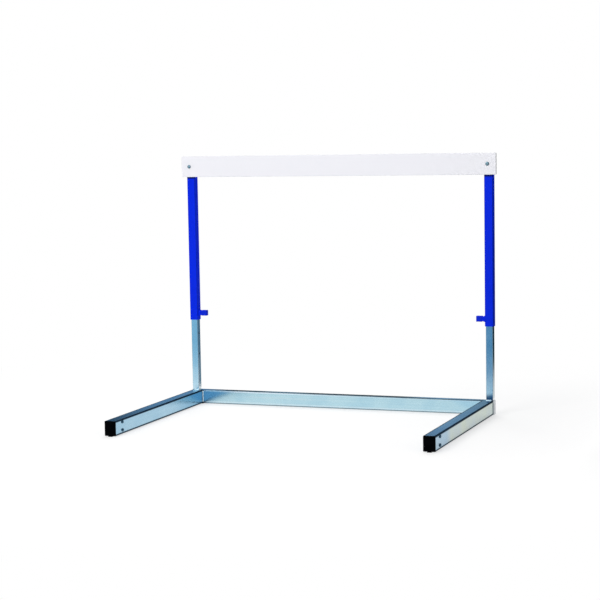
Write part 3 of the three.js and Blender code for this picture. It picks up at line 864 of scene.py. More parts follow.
class Finishes:
    """Every finish of the hurdle, made once."""

    def __init__(self) -> None:
        """Makes the finishes."""
        board, sleeve = Box.of("crossbar"), Box.of("sleeve_right")
        self.zinc_x, self.zinc_y, self.zinc_z = (plate.finish() for plate in self._plating())
        self.blue_paint = PowderCoat(
            "blue_powder_coat", "blue_paint", board_underside=board.low.z, sleeve_front=sleeve.low.y
        ).finish()
        self.board = BoardFace("white_board", "white_crossbar", end=board.high.x).finish()
        self.blue_plastic = self._moulded("blue_plastic", (0.0, 0.02, 0.66), (0.0, 0.013, 0.5), specular=0.1)
        self.black_plastic = self._moulded(
            "black_plastic", (0.0004, 0.0004, 0.0007), (0.002, 0.002, 0.0028), specular=0.02
        )
        self.grey_plastic = self._moulded(
            "grey_plastic", (0.82, 0.86, 0.88), (0.66, 0.72, 0.76), roughness=0.22, specular=0.5
        )
        self.rubber = self._moulded("black_rubber", (0.012, 0.012, 0.012), (0.03, 0.03, 0.03), roughness=0.75)
        # painted shade and highlight: the fasteners get a dark copy of the zinc, the crossbar bolts' heads a
        # light one
        self.shaded_fastener = Steel(
            "zinc_fastener", "zinc_fastener", (0.07, 0.16, 0.23), (0.015, 0.045, 0.075), roughness=0.22
        ).finish()
        self.lit_bolt_head = Steel(
            "lit_zinc_bolt_head", "zinc_fastener", (0.30, 0.46, 0.53), (0.05, 0.11, 0.15), roughness=0.2
        ).finish()
        # partly painted highlight: the bead is near white and only partly metallic, so its glints show in its
        # colour
        self.weld = Steel(
            "weld_metal", "weld_metal", (0.80, 0.95, 1.0), (0.60, 0.78, 0.86), roughness=0.28,
            mottle_scale=420.0, height=0.08 * MM, metallic=0.4,
        ).finish()
        self.raw_steel = Steel(
            "raw_steel", "raw_steel", (0.40, 0.40, 0.41), (0.22, 0.21, 0.21), roughness=0.45
        ).finish()
        self.spring_steel = Steel(
            "spring_steel", "spring_steel", (0.55, 0.56, 0.58), (0.36, 0.37, 0.40), roughness=0.25
        ).finish()

    @staticmethod
    def _moulded(name: str, full: Colour, dull: Colour, **values: float) -> Finish:
        """A moulded finish whose slot has its own name."""
        return Moulded(name, name, full, dull, **values).finish()

    @staticmethod
    def _plating() -> tuple[ZincPlate, ZincPlate, ZincPlate]:
        """Settles the plating of the rail, the legs and the posts.

        Returns:
            One recipe for each, with its tints: painted shade and reflection beside the welds, painted
                highlights by the posts' feet and a bluer tone at the legs' front ends.
        """
        rail, leg, post = (Box.of(node) for node in ("cross_rail", "leg_right", "post_right"))
        blue, navy, sky = (0.19, 0.43, 0.62), (0.02, 0.07, 0.15), (0.24, 0.52, 0.74)
        backwards, forwards, downwards = (0.0, 1.0, 0.0), (0.0, -1.0, 0.0), (0.0, 0.0, -1.0)
        corner, inner, front, foot = rail.low.y, leg.low.x, -leg.low.y, -leg.high.z
        inside = {"inside_of": inner + SHARP_FADE}  # on the legs' inner sides alone
        rail_tints = (
            # painted reflection: the rail turns bluer towards the corners where it mirrors the legs, mostly
            # on the left
            Tint(sky, (1.0, 0.0, 2.2), inner - 35.0 * MM, inner + 30.0 * MM, left=1.0, right=0.3),
            # painted shade: navy low down beside the left corner's joint
            Tint(navy, (1.0, 0.0, -2.0), inner - 30.0 * MM, inner - 12.0 * MM, left=0.9, right=0.0),
        )
        leg_tints = (
            # a bluer tone towards the legs' front ends, mostly on the right leg
            Tint((0.25, 0.43, 0.59), forwards, front - 190.0 * MM, front - 120.0 * MM, left=0.1, right=0.9),
            # painted shade and reflection: the legs' inner sides turn bluer towards the rail
            Tint(blue, backwards, corner - 310.0 * MM, corner - 50.0 * MM, left=1.0, right=1.0, **inside),
            # painted shadow: a navy band beside the corner's weld bead
            Tint(navy, backwards, corner - 13.0 * MM, corner - 9.0 * MM, left=0.8, right=0.8, **inside),
        )
        sideways = 20.0  # a millimetre sideways counts as much as 200 mm of height
        outer_highlight_reach, inner_highlight_reach = (sideways, 0.0, -0.1), (-sideways, 0.0, -0.1)
        outer, facing = post.high.x * sideways, post.low.x * -sideways
        post_tints = (
            # painted shade: darker blue, then navy, towards the right post's foot
            Tint(blue, downwards, foot - 170.0 * MM, foot - 30.0 * MM, left=0.0, right=0.4),
            Tint(navy, downwards, foot - 28.0 * MM, foot - 8.0 * MM, left=0.0, right=0.9),
            # painted highlights: near-white strips low on the right post's outer edge and the left post's
            # inner edge
            Tint(WHITE, outer_highlight_reach, outer - 22.0 * MM, outer - 15.5 * MM, left=0.0, right=1.0),
            Tint((0.96, 1.0, 1.0), inner_highlight_reach, facing - 22.0 * MM, facing - 13.5 * MM, left=1.0, right=0.0),
        )
        return (
            ZincPlate(
                "zinc_along_x", "zinc_tube", Grain.ALONG_X, TubeEdges.of("cross_rail", "YZ"),
                edge_width=(4.2 * MM, 3.6 * MM), painted_reflection_strength=(0.7, 0.95), tints=rail_tints,
                pale=(0.54, 0.75, 0.81), cool=(0.39, 0.62, 0.73), painted_highlights=(0.35, 0.9),
            ),
            ZincPlate(
                "zinc_along_y", "zinc_tube", Grain.ALONG_Y, TubeEdges.of("leg_right", "XZ"),
                edge_width=(7.0 * MM, 6.6 * MM), painted_reflection_strength=(0.95, 1.0), tints=leg_tints,
                pale=(0.40, 0.61, 0.74), cool=(0.29, 0.50, 0.65),
            ),
            ZincPlate(
                "zinc_along_z", "zinc_tube", Grain.ALONG_Z, TubeEdges.of("post_right", "XY"),
                edge_width=(2.0 * MM, 2.0 * MM), painted_reflection_strength=(0.35, 0.35), tints=post_tints,
            ),
        )


class Program(Tree):
    """A Geometry Nodes tree with named inputs, which ends in Realize Instances and Set Material."""

    def __init__(self, name: str, inputs: dict[str, str]) -> None:
        """Starts the tree.

        Args:
            name: the tree's name.
            inputs: the socket type of each named input.
        """
        super().__init__(bpy.data.node_groups.new(name, "GeometryNodeTree"))
        interface = self.tree.interface
        for label, kind in {"Geometry": "Geometry", **inputs, "Material": "Material"}.items():
            interface.new_socket(label, in_out="INPUT", socket_type="NodeSocket" + kind)
        interface.new_socket("Geometry", in_out="OUTPUT", socket_type="NodeSocketGeometry")
        self._entry = self.tree.nodes.new("NodeGroupInput")

    def given(self, label: str) -> Signal:
        """One of the tree's inputs."""
        return Signal(self, self._socket(self._entry.outputs, label))

    def fed(self, kind: str, labels: dict[str, str]) -> Signal:
        """Adds a node whose sockets get inputs of the tree, by their labels."""
        return self.node(kind, inputs={socket: self.given(label) for socket, label in labels.items()})

    def difference(self, body: Signal, cutters: Signal) -> Signal:
        """One mesh less another."""
        settings = {"operation": "DIFFERENCE", "solver": "MANIFOLD"}
        return self.node("GeometryNodeMeshBoolean", settings, {"Mesh 1": body, "Mesh 2": cutters})

    def filleted(self, curve: Signal, radius: Value) -> Signal:
        """A curve with its corners rounded."""
        inputs = {"Curve": curve, "Count": CORNER_STEPS, "Radius": radius, "Limit Radius": True}
        return self.node("GeometryNodeFilletCurve", {"mode": "POLY"}, inputs)

    def swept(self, path: Signal, section: Signal, **more: Value) -> Signal:
        """A section swept along a path, with closed ends."""
        inputs = {"Curve": path, "Profile Curve": section, "Fill Caps": True, **more}
        return self.node("GeometryNodeCurveToMesh", inputs=inputs)

    def circle(self, sides: int, radius: Value) -> Signal:
        """A circle as a curve."""
        return self.node("GeometryNodeCurvePrimitiveCircle", inputs={"Resolution": sides, "Radius": radius})

    def finish(self, geometry: Signal) -> None:
        """Realizes the geometry's instances, gives it the material and ends the tree.

        Args:
            geometry: what the tree has made.
        """
        whole = self.node("GeometryNodeRealizeInstances", inputs={"Geometry": geometry})
        inputs = {"Geometry": whole, "Material": self.given("Material")}
        dressed = self.node("GeometryNodeSetMaterial", inputs=inputs)
        self.tree.links.new(dressed.socket, self.tree.nodes.new("NodeGroupOutput").inputs[0])

    def apply(self, target: bpy.types.Object, values: dict[str, Any]) -> None:
        """Adds the tree to an object as a modifier.

        Args:
            target: the object.
            values: a value for each named input.
        """
        modifier = target.modifiers.new(self.tree.name, "NODES")
        modifier.node_group = self.tree
        for item in self.tree.interface.items_tree:
            if item.in_out == "INPUT" and item.name in values:
                modifier[item.identifier] = values[item.name]


class RowCut(Program):
    """Cuts a row of equal shapes, one step apart, out of a mesh."""

    def __init__(self, name: str, bit_inputs: dict[str, str]) -> None:
        """Builds the tree.

        Args:
            name: the tree's name.
            bit_inputs: the socket types of the inputs that give the shape its size.
        """
        row_inputs = {"Count": "Int", "First": "Vector", "Step": "Vector", "Turn": "Vector"}
        super().__init__(name, {**row_inputs, **bit_inputs})
        labels = {"Count": "Count", "Start Location": "First", "Offset": "Step"}
        row = self.fed("GeometryNodeMeshLine", labels)
        turn = self.fed("FunctionNodeEulerToRotation", {"Euler": "Turn"})
        places = {"Points": row, "Instance": self._bit(), "Rotation": turn}
        bits = self.node("GeometryNodeInstanceOnPoints", inputs=places)
        cutters = self.node("GeometryNodeRealizeInstances", inputs={"Geometry": bits})
        self.finish(self.difference(self.given("Geometry"), cutters))

    def _bit(self) -> Signal:
        """The shape that is cut out at each place."""
        raise NotImplementedError


class DrilledRow(RowCut):
    """Drills a row of holes with as many sides as asked for."""

    def __init__(self) -> None:
        """Builds the tree."""
        super().__init__("drilled_row", {"Radius": "Float", "Depth": "Float", "Sides": "Int"})

    def _bit(self) -> Signal:
        """A bit along its own Z axis."""
        labels = {"Vertices": "Sides", "Radius": "Radius", "Depth": "Depth"}
        return self.fed("GeometryNodeMeshCylinder", labels)


class NotchedRow(RowCut):
    """Cuts a row of square notches."""

    def __init__(self) -> None:
        """Builds the tree."""
        super().__init__("notched_row", {"Size": "Vector"})

    def _bit(self) -> Signal:
        """A block as large as a notch."""
        return self.fed("GeometryNodeMeshCube", {"Size": "Size"})


class TubeProgram(Program):
    """Makes a rectangular tube with round corners, from its origin along +Z."""

    def __init__(self) -> None:
        """Builds the tree."""
        labels = ("Width", "Height", "Length", "Wall", "Corner Radius", "Overrun")
        super().__init__("rectangular_tube", dict.fromkeys(labels, "Float"))
        length, overrun = self.given("Length"), self.given("Overrun")
        outside = self._bar(0.0, 0.0, length)
        inside = self._bar(self.given("Wall"), 0.0 - overrun, length + overrun)
        self.finish(self.difference(outside, inside))

    def _bar(self, inset: Value, start: Value, end: Value) -> Signal:
        """Makes a solid bar of the tube's section.

        Args:
            inset: how far the bar's sides lie inside the tube's.
            start: the height of its lower end.
            end: the height of its upper end.

        Returns:
            The bar's mesh.
        """
        sizes = {label: self.given(label) - inset * 2 for label in ("Width", "Height")}
        section = self.node("GeometryNodeCurvePrimitiveQuadrilateral", inputs=sizes)
        ends = (self.node("ShaderNodeCombineXYZ", inputs={"Z": place}) for place in (start, end))
        axis = self.node("GeometryNodeCurvePrimitiveLine", inputs=dict(zip(("Start", "End"), ends)))
        return self.swept(axis, self.filleted(section, self.given("Corner Radius") - inset))


class BeadProgram(Program):
    """Lays a weld bead along a path, with ripples, an uneven course and tapered ends."""

    NOISE_SCALE = 260.0
    TAPER = (-0.01, 0.08)  # the shares of the bead's length between which its ends grow thick

    def __init__(self) -> None:
        """Builds the tree."""
        labels = (
            "Bead Radius", "Corner Radius", "Step", "Ripple Pitch", "Ripple Depth",
            "Unevenness", "Wander", "Seed",
        )
        super().__init__("weld_bead", dict.fromkeys(labels, "Float"))
        path = self.fed("GeometryNodeMeshToCurve", {"Mesh": "Geometry"})
        turned = self.filleted(path, self.given("Corner Radius"))
        course = self.node(
            "GeometryNodeResampleCurve", {"mode": "LENGTH"}, {"Curve": turned, "Length": self.given("Step")}
        )
        spots = self._noise(0)
        along = self.node("GeometryNodeSplineParameter", output="Length")
        share = self.node("GeometryNodeSplineParameter", output="Factor")
        phase = along / self.given("Ripple Pitch") * math.tau + spots * math.tau
        ripple = 1.0 - self.given("Ripple Depth") * (phase.sine() * 0.5 + 0.5)
        uneven = 1.0 + (spots - 0.5) * self.given("Unevenness")
        ends = share.ease(*self.TAPER) * (1.0 - share).ease(*self.TAPER)
        section = self.circle(ROUND_SIDES // 2, self.given("Bead Radius"))
        bead = self.swept(course, section, Scale=ripple * uneven * ends)
        centred = self._vector("SUBTRACT", {0: self._noise("Color"), 1: (0.5, 0.5, 0.5)})
        offset = self._vector("SCALE", {0: centred, "Scale": self.given("Wander")})
        self.finish(self.node("GeometryNodeSetPosition", inputs={"Geometry": bead, "Offset": offset}))

    def _vector(self, operation: str, inputs: dict[Key, Any]) -> Signal:
        """A sum on vectors."""
        return self.node("ShaderNodeVectorMath", {"operation": operation}, inputs)

    def _noise(self, output: Key) -> Signal:
        """Random values along the bead, which the seed settles."""
        inputs = {"W": self.given("Seed"), "Scale": self.NOISE_SCALE, "Detail": 2.0}
        return self.node("ShaderNodeTexNoise", {"noise_dimensions": "4D"}, inputs, output)


class CoilProgram(Program):
    """Winds a coil spring from its origin along +Z."""

    def __init__(self) -> None:
        """Builds the tree."""
        labels = ("Turns", "Coil Radius", "Length", "Wire Radius")
        super().__init__("coil_spring", {"Steps per Turn": "Int", **dict.fromkeys(labels, "Float")})
        centre_line = self.fed("GeometryNodeCurveSpiral", {
            "Resolution": "Steps per Turn", "Rotations": "Turns", "Start Radius": "Coil Radius",
            "End Radius": "Coil Radius", "Height": "Length",
        })
        self.finish(self.swept(centre_line, self.circle(WIRE_SIDES, self.given("Wire Radius"))))


@dataclass(frozen=True)
class Outline:
    """A section with rounded corners, which is a circle where the radius is half of both sides."""

    width: float
    height: float
    radius: float

    @classmethod
    def circle(cls, radius: float) -> "Outline":
        """A circle of this radius."""
        return cls(2 * radius, 2 * radius, radius)

    def ring(self, inset: float) -> list[Pair]:
        """Finds points round the outline.

        Args:
            inset: how far the points lie inside it.

        Returns:
            The points, counterclockwise.
        """
        radius = max(self.radius - inset, SMALLEST_RADIUS)
        x = self.width / 2 - inset - radius
        y = self.height / 2 - inset - radius
        points = []
        for quarter, (x_sign, y_sign) in enumerate(((1, 1), (-1, 1), (-1, -1), (1, -1))):
            for step in range(CORNER_STEPS + 1):
                angle = (quarter + step / CORNER_STEPS) * QUARTER
                points.append((x_sign * x + radius * math.cos(angle), y_sign * y + radius * math.sin(angle)))
        return points


@dataclass(frozen=True)
class HexagonOutline:
    """A nut's section: a hexagon, whose corners a cone cuts off as the inset grows."""

    across_flats: float

    @property
    def corner_radius(self) -> float:
        """The distance from the centre to a corner."""
        return self.across_flats / math.sqrt(3)

    def ring(self, inset: float) -> list[Pair]:
        """Finds points round the hexagon.

        Args:
            inset: how far the cone lies inside the corners.

        Returns:
            The points, counterclockwise.
        """
        points = []
        side_angle = math.tau / HEXAGON_SIDES
        for step in range(HEXAGON_SIDES * CORNER_STEPS):
            angle = step * side_angle / CORNER_STEPS
            to_flat = self.across_flats / 2 / math.cos(angle % side_angle - side_angle / 2)
            radius = min(to_flat, self.corner_radius - inset)
            points.append((radius * math.cos(angle), radius * math.sin(angle)))
        return points


Section = Union[Outline, HexagonOutline]


def bevel_up(bevel: float, start: float) -> Profile:
    """The profile of a rounded edge where a form starts, from the end face to the side."""
    angles = [step / BEVEL_STEPS * QUARTER for step in range(BEVEL_STEPS + 1)]
    return [(bevel * (1 - math.sin(a)), start + bevel * (1 - math.cos(a))) for a in angles]


def bevel_down(bevel: float, end: float) -> Profile:
    """The profile of a rounded edge where a form ends, from the side to the end face."""
    return [(inset, 2 * end - along) for inset, along in reversed(bevel_up(bevel, end))]


def prism_profile(length: float, bevel: float, start: float = 0.0) -> Profile:
    """The profile of a prism with two rounded ends."""
    return bevel_up(bevel, start) + bevel_down(bevel, start + length)


class Form:
    """A mesh made of closed shells, with an attribute that marks its rounded edges."""

    def __init__(self) -> None:
        """Starts with nothing."""
        self._mesh = bmesh.new()
        self._corner = self._mesh.verts.layers.float.new("corner")

    def loft(
        self, *runs: tuple[Section, Profile], closed: bool = False, shift: Place = (0.0, 0.0, 0.0)
    ) -> "Form":
        """Adds a shell whose section changes along its own Z axis.

        Args:
            runs: sections, each with its profile.
            closed: joins the last ring to the first, which makes a hollow ring, and leaves out the end faces.
            shift: moves the shell.

        Returns:
            The form itself.
        """
        stations = [(section, inset, along) for section, profile in runs for inset, along in profile]
        turns = self._turns([(inset, along) for _, inset, along in stations])
        rings = []
        for (section, inset, along), turn in zip(stations, turns):
            places = [Vector((x, y, along)) + Vector(shift) for x, y in section.ring(inset)]
            ring = [self._mesh.verts.new(place) for place in places]
            for vertex in ring:
                vertex[self._corner] = turn
            rings.append(ring)
        for first, second in zip(rings, rings[1:] + rings[:1] if closed else rings[1:]):
            for i in range(len(first)):
                j = (i + 1) % len(first)
                self._mesh.faces.new((first[i], first[j], second[j], second[i]))
        if not closed:
            self._mesh.faces.new(list(reversed(rings[0])))
            self._mesh.faces.new(rings[-1])
        return self

    @staticmethod
    def _turns(profile: Profile) -> list[float]:
        """Finds where a profile goes round an edge.

        Args:
            profile: the insets and places along the axis.

        Returns:
            A value for each ring: 1 in the middle of a rounded edge and 0 on straight parts.
        """
        slopes = []
        for (inset, along), (next_inset, next_along) in zip(profile, profile[1:]):
            run, rise = abs(next_inset - inset), abs(next_along - along)
            slopes.append(min(run, rise) / max(math.hypot(run, rise), MERGE_DISTANCE))
        middle = [min(1.0, 2 * min(before, after)) for before, after in zip(slopes, slopes[1:])]
        return [0.0, *middle, 0.0]

    def join(self, mesh: Mesh) -> "Form":
        """Adds the shells of a mesh."""
        self._mesh.from_mesh(mesh)
        return self

    def mesh(self, name: str) -> Mesh:
        """Makes a mesh of the form, which is used up.

        Args:
            name: the mesh's name.

        Returns:
            The mesh, with points in the same place merged.
        """
        bmesh.ops.remove_doubles(self._mesh, verts=self._mesh.verts, dist=MERGE_DISTANCE)
        bmesh.ops.dissolve_degenerate(self._mesh, edges=self._mesh.edges, dist=MERGE_DISTANCE)
        made = bpy.data.meshes.new(name)
        self._mesh.to_mesh(made)
        self._mesh.free()
        return made


Step = tuple[Program, dict[str, Any]]  # a program, and the values of its inputs


class Workshop:
    """Finishes pieces: runs their programs, leaves plain meshes and joins them to the frame."""

    def __init__(self) -> None:
        """Prepares the finishes and the programs."""
        self.finishes = Finishes()
        self.tube_program = TubeProgram()
        self.drill = DrilledRow()
        self.notch = NotchedRow()
        self.bead = BeadProgram()
        self.coil = CoilProgram()

    def holes(
        self, first: Place, radius: float, depth: float, axis: Drilling = Drilling.ALONG_Z,
        count: int = 1, step: Place = (0.0, 0.0, 0.0), sides: int = ROUND_SIDES,
    ) -> Step:
        """Describes a row of equal holes.

        Args:
            first: the middle of the first hole, in the piece's own axes.
            radius: their radius.
            depth: their depth, half of it on each side of the middle.
            axis: their axis.
            count: how many there are.
            step: the way from one to the next.
            sides: how many sides each has.

        Returns:
            The step that drills them.
        """
        return self.drill, {
            "Count": count, "First": first, "Step": step, "Turn": axis.value,
            "Radius": radius, "Depth": depth, "Sides": sides,
        }

    @staticmethod
    def _plain(target: bpy.types.Object) -> Mesh:
        """The mesh that an object has once its modifiers have run."""
        graph = bpy.context.evaluated_depsgraph_get()
        return bpy.data.meshes.new_from_object(target.evaluated_get(graph), depsgraph=graph)

    def run(self, mesh: Mesh, finish: Finish, *steps: Step) -> Mesh:
        """Runs programs on a mesh, one after the other.

        Args:
            mesh: the mesh that the first program gets.
            finish: the finish whose material they set.
            steps: the programs, each with the values of its inputs.

        Returns:
            The result as a plain mesh.
        """
        holder = bpy.data.objects.new("workpiece", mesh)
        bpy.context.scene.collection.objects.link(holder)
        for program, values in steps:
            program.apply(holder, {**values, "Material": finish.material})
        plain = self._plain(holder)
        bpy.data.objects.remove(holder)
        return plain

    def tube(self, width: float, height: float, length: float, finish: Finish, *cuts: Step) -> Mesh:
        """Makes a tube and marks its rounded corners.

        Args:
            width: its width.
            height: its height.
            length: its length.
            finish: its finish.
            cuts: the steps that cut its holes.

        Returns:
            The tube, along its own Z axis.
        """
        radius = TUBE_WALL * TUBE_CORNER_SHARE
        sizes = {
            "Width": width, "Height": height, "Length": length, "Wall": TUBE_WALL,
            "Corner Radius": radius, "Overrun": CUT_OVERRUN,
        }
        made = self.run(bpy.data.meshes.new("tube"), finish, (self.tube_program, sizes), *cuts)
        corner = made.attributes.new("corner", "FLOAT", "POINT")
        for index, vertex in enumerate(made.vertices):
            # both are 1 / sqrt(2) in the middle of a corner
            past_x = (abs(vertex.co.x) - width / 2 + radius) / radius
            past_y = (abs(vertex.co.y) - height / 2 + radius) / radius
            corner.data[index].value = min(1.0, max(0.0, min(past_x, past_y)) * math.sqrt(2))
        return made

    def place(
        self, name: str, node: str, body: Optional[str], finish: Finish, mesh: Mesh, matrix: Matrix
    ) -> bpy.types.Object:
        """Makes a piece of a mesh: moves it to its place, evens its shading and joins it to the frame.

        Args:
            name: the piece's name.
            node: the node that it stands for.
            body: the body that it rides on, or None for a piece between two bodies.
            finish: its finish.
            mesh: its mesh.
            matrix: moves the mesh to its place.

        Returns:
            The piece.
        """
        mesh.transform(matrix)
        mesh.materials.clear()
        mesh.materials.append(finish.material)
        mesh.polygons.foreach_set("material_index", [0] * len(mesh.polygons))
        mesh.shade_smooth()
        mesh.set_sharp_from_angle(angle=SHARP_ANGLE)
        made = bpy.data.objects.new(name, mesh)
        bpy.context.scene.collection.objects.link(made)
        modifier = made.modifiers.new("even_normals", "WEIGHTED_NORMAL")
        modifier.keep_sharp = True
        made.data = self._plain(made)
        made.modifiers.clear()
        made.data.name = name
        if body:
            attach(made, body)
        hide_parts(node)
        LOG.info("%s: %d faces", name, len(made.data.polygons))
        return made

    @staticmethod
    def dress(node: str, finish: Finish) -> None:
        """Gives a node of the frame its material.

        Args:
            node: the node's name.
            finish: the finish.
        """
        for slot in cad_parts[node].material_slots:
            slot.material = finish.material
        LOG.info("%s: dressed", node)


@dataclass(frozen=True)
class Fasteners:
    """The bolts, nuts and washers, all of one size."""

    thread_radius: float = 3.0 * MM
    thread_pitch: float = 1.0 * MM
    thread_depth: float = 0.35 * MM
    crest_share: float = 0.125  # how much of the pitch is crest
    root_share: float = 0.625  # how far along the pitch the root lies
    head_radius: float = 5.5 * MM
    head_height: float = 3.3 * MM
    head_rim: float = 1.1 * MM
    head_flat: float = 2.6 * MM
    head_edge: float = 0.2 * MM
    socket_radius: float = 2.2 * MM
    socket_depth: float = 1.8 * MM
    tip_chamfer: float = 0.8 * MM
    dome_steps: int = 7
    across_flats: float = 10.0 * MM
    nut_chamfer: float = 0.7 * MM
    bore_gap: float = 0.3 * MM
    edge: float = 0.15 * MM
    threaded_share: float = 0.45  # of a bolt's shank, from its tip

    def bolt(self, workshop: Workshop, length: float, finish: Finish) -> Mesh:
        """Makes a bolt with a domed head, whose shank runs down from the origin.

        Args:
            workshop: cuts the socket.
            length: the shank's length.
            finish: the bolt's finish.

        Returns:
            The bolt's mesh.
        """
        shank = self.head_radius - self.thread_radius
        profile = [(shank + self.tip_chamfer, -length)]
        crest = -length + self.tip_chamfer
        while crest < -length * (1 - self.threaded_share):
            profile += [
                (shank, crest),
                (shank, crest + self.thread_pitch * self.crest_share),
                (shank + self.thread_depth, crest + self.thread_pitch * self.root_share),
            ]
            crest += self.thread_pitch
        profile += [(shank, crest), (shank, 0.0)]
        profile += bevel_up(self.head_edge, 0.0) + [(0.0, self.head_rim)]
        for step in range(1, self.dome_steps + 1):
            angle = step / self.dome_steps * QUARTER
            inset = (self.head_radius - self.head_flat) * (1 - math.cos(angle))
            profile.append((inset, self.head_rim + (self.head_height - self.head_rim) * math.sin(angle)))
        blank = Form().loft((Outline.circle(self.head_radius), profile)).mesh("bolt")
        top = (0.0, 0.0, self.head_height)
        socket = workshop.holes(top, self.socket_radius, 2 * self.socket_depth, sides=HEXAGON_SIDES)
        return workshop.run(blank, finish, socket)

    def nut(self, workshop: Workshop, thickness: float, finish: Finish) -> Mesh:
        """Makes a nut that stands on the origin.

        Args:
            workshop: drills the bore.
            thickness: the nut's thickness.
            finish: the nut's finish.

        Returns:
            The nut's mesh.
        """
        outline = HexagonOutline(self.across_flats)
        narrow = outline.corner_radius - self.across_flats / 2
        steps = [step / BEVEL_STEPS for step in range(BEVEL_STEPS + 1)]
        lower = [(narrow * (1 - share), self.nut_chamfer * share) for share in steps]
        upper = [(inset, thickness - along) for inset, along in reversed(lower)]
        blank = Form().loft((outline, lower + upper)).mesh("nut")
        bore = workshop.holes((0.0, 0.0, thickness / 2), self.thread_radius + self.bore_gap, 2 * thickness)
        return workshop.run(blank, finish, bore)

    def washer(self, radius: float, thickness: float) -> Mesh:
        """Makes a washer that stands on the origin.

        Args:
            radius: its outer radius.
            thickness: its thickness.

        Returns:
            The washer's mesh.
        """
        wide = radius - self.thread_radius - self.bore_gap
        profile = prism_profile(thickness, self.edge) + [(wide, thickness), (wide, 0.0)]
        return Form().loft((Outline.circle(radius), profile), closed=True).mesh("washer")


@dataclass(frozen=True)
class Plug:
    """A plastic plug: a flange on the end of a tube and a hollow insert inside the tube."""

    flange: float = 2.5 * MM
    insert: float = 16.0 * MM
    wall: float = 1.8 * MM
    gap: float = 0.3 * MM
    edge: float = 0.7 * MM

    def mesh(self, width: float, height: float) -> Mesh:
        """Makes a plug whose flange stands on the origin.

        Args:
            width: the tube's width.
            height: the tube's height.

        Returns:
            The plug's mesh.
        """
        outline = Outline(width, height, TUBE_WALL * TUBE_CORNER_SHARE)
        insert = TUBE_WALL + self.gap
        pocket = insert + self.wall
        profile = [(pocket, 0.0), (pocket, -self.insert), (insert, -self.insert), (insert, 0.0), (0.0, 0.0)]
        return Form().loft((outline, profile + bevel_down(self.edge, self.flange))).mesh("plug")


@dataclass(frozen=True)
class Weld:
    """A hand-laid weld bead."""

    radius: float = 3.0 * MM
    turn_radius: float = 2.5 * MM
    step: float = 0.35 * MM
    ripple_pitch: float = 2.4 * MM
    ripple_depth: float = 0.16
    unevenness: float = 0.55
    wander: float = 2.0 * MM

    def mesh(self, workshop: Workshop, path: Sequence[Place], seed: float) -> Mesh:
        """Lays the bead.

        Args:
            workshop: runs the program.
            path: the points of the bead's centre line.
            seed: settles its ripples.

        Returns:
            The bead's mesh, in its place.
        """
        line = bpy.data.meshes.new("weld_path")
        line.from_pydata(list(path), [(i, i + 1) for i in range(len(path) - 1)], [])
        values = {
            "Bead Radius": self.radius, "Corner Radius": self.turn_radius, "Step": self.step,
            "Ripple Pitch": self.ripple_pitch, "Ripple Depth": self.ripple_depth,
            "Unevenness": self.unevenness, "Wander": self.wander, "Seed": seed,
        }
        return workshop.run(line, workshop.finishes.weld, (workshop.bead, values))


@dataclass(frozen=True)
class FrontCap:
    """The black cap on a leg's front end, with two notches and a foot that reaches under the tube."""

    flange: float = 4.0 * MM
    insert: float = 20.0 * MM
    edge: float = 1.1 * MM
    foot_width: float = 14.0 * MM
    foot_under: float = 24.0 * MM
    foot_rise: float = 5.0 * MM
    foot_proud: float = 0.8 * MM
    foot_edge: float = 0.5 * MM
    foot_lap: float = 0.3 * MM
    notch_width: float = 3.0 * MM
    notch_height: float = 3.5 * MM
    notch_depth: float = 2.4 * MM

    def mesh(self, workshop: Workshop, width: float, height: float, clearance: float) -> Mesh:
        """Makes the cap, whose flange stands on the origin.

        Args:
            workshop: cuts the notches.
            width: the leg's width.
            height: the leg's height.
            clearance: from the leg's underside to the foot's.

        Returns:
            The cap's mesh.
        """
        plug = Plug(self.flange, self.insert, edge=self.edge).mesh(width, height)
        notches = {
            "Count": 2,
            "First": (-(self.foot_width + self.notch_width) / 2, -height / 2, self.flange),
            "Step": (self.foot_width + self.notch_width, 0.0, 0.0),
            "Size": (self.notch_width, 2 * self.notch_height, 2 * self.notch_depth),
        }
        form = Form().join(workshop.run(plug, workshop.finishes.black_plastic, (workshop.notch, notches)))
        reach = self.flange + self.foot_proud
        rise = clearance + self.foot_rise - self.foot_lap
        sole = Outline(self.foot_width, clearance, self.foot_edge)
        riser = Outline(self.foot_width - 2 * self.foot_lap, rise, self.foot_edge)
        under = prism_profile(self.foot_under + reach - self.foot_lap, self.foot_edge, -self.foot_under)
        form.loft((sole, under), shift=(0.0, -height / 2 - clearance / 2, 0.0))
        front = prism_profile(reach, self.foot_edge)
        form.loft((riser, front), shift=(0.0, -height / 2 + self.foot_rise - rise / 2, 0.0))
        return form.mesh("front_cap")


@dataclass(frozen=True)
class RearPad:
    """A rubber pad under the rail, held by a stem with a bulb inside the tube."""

    radius: float = 9.0 * MM
    edge: float = 0.6 * MM
    stem_radius: float = 2.7 * MM
    bulb_radius: float = 4.0 * MM
    bulb_height: float = 5.0 * MM
    seat_gap: float = 0.25 * MM
    groove_depth: float = 0.5 * MM

    def mesh(self, clearance: float) -> Mesh:
        """Makes the pad, which stands on the origin.

        Args:
            clearance: from the ground to the tube's underside.

        Returns:
            The pad's mesh.
        """
        head_top = clearance - self.seat_gap
        bulb = clearance + TUBE_WALL + self.seat_gap
        stem_inset, bulb_inset = self.radius - self.stem_radius, self.radius - self.bulb_radius
        cup = self.radius / 2
        profile = [(cup + self.edge, self.groove_depth), (cup, 0.0)]
        profile += bevel_up(self.edge, 0.0) + bevel_down(self.edge / 2, head_top)
        profile += [
            (stem_inset, head_top), (stem_inset, bulb), (bulb_inset, bulb), (bulb_inset, bulb + self.edge),
            (stem_inset, bulb + self.bulb_height),
        ]
        return Form().loft((Outline.circle(self.radius), profile)).mesh("rear_pad")


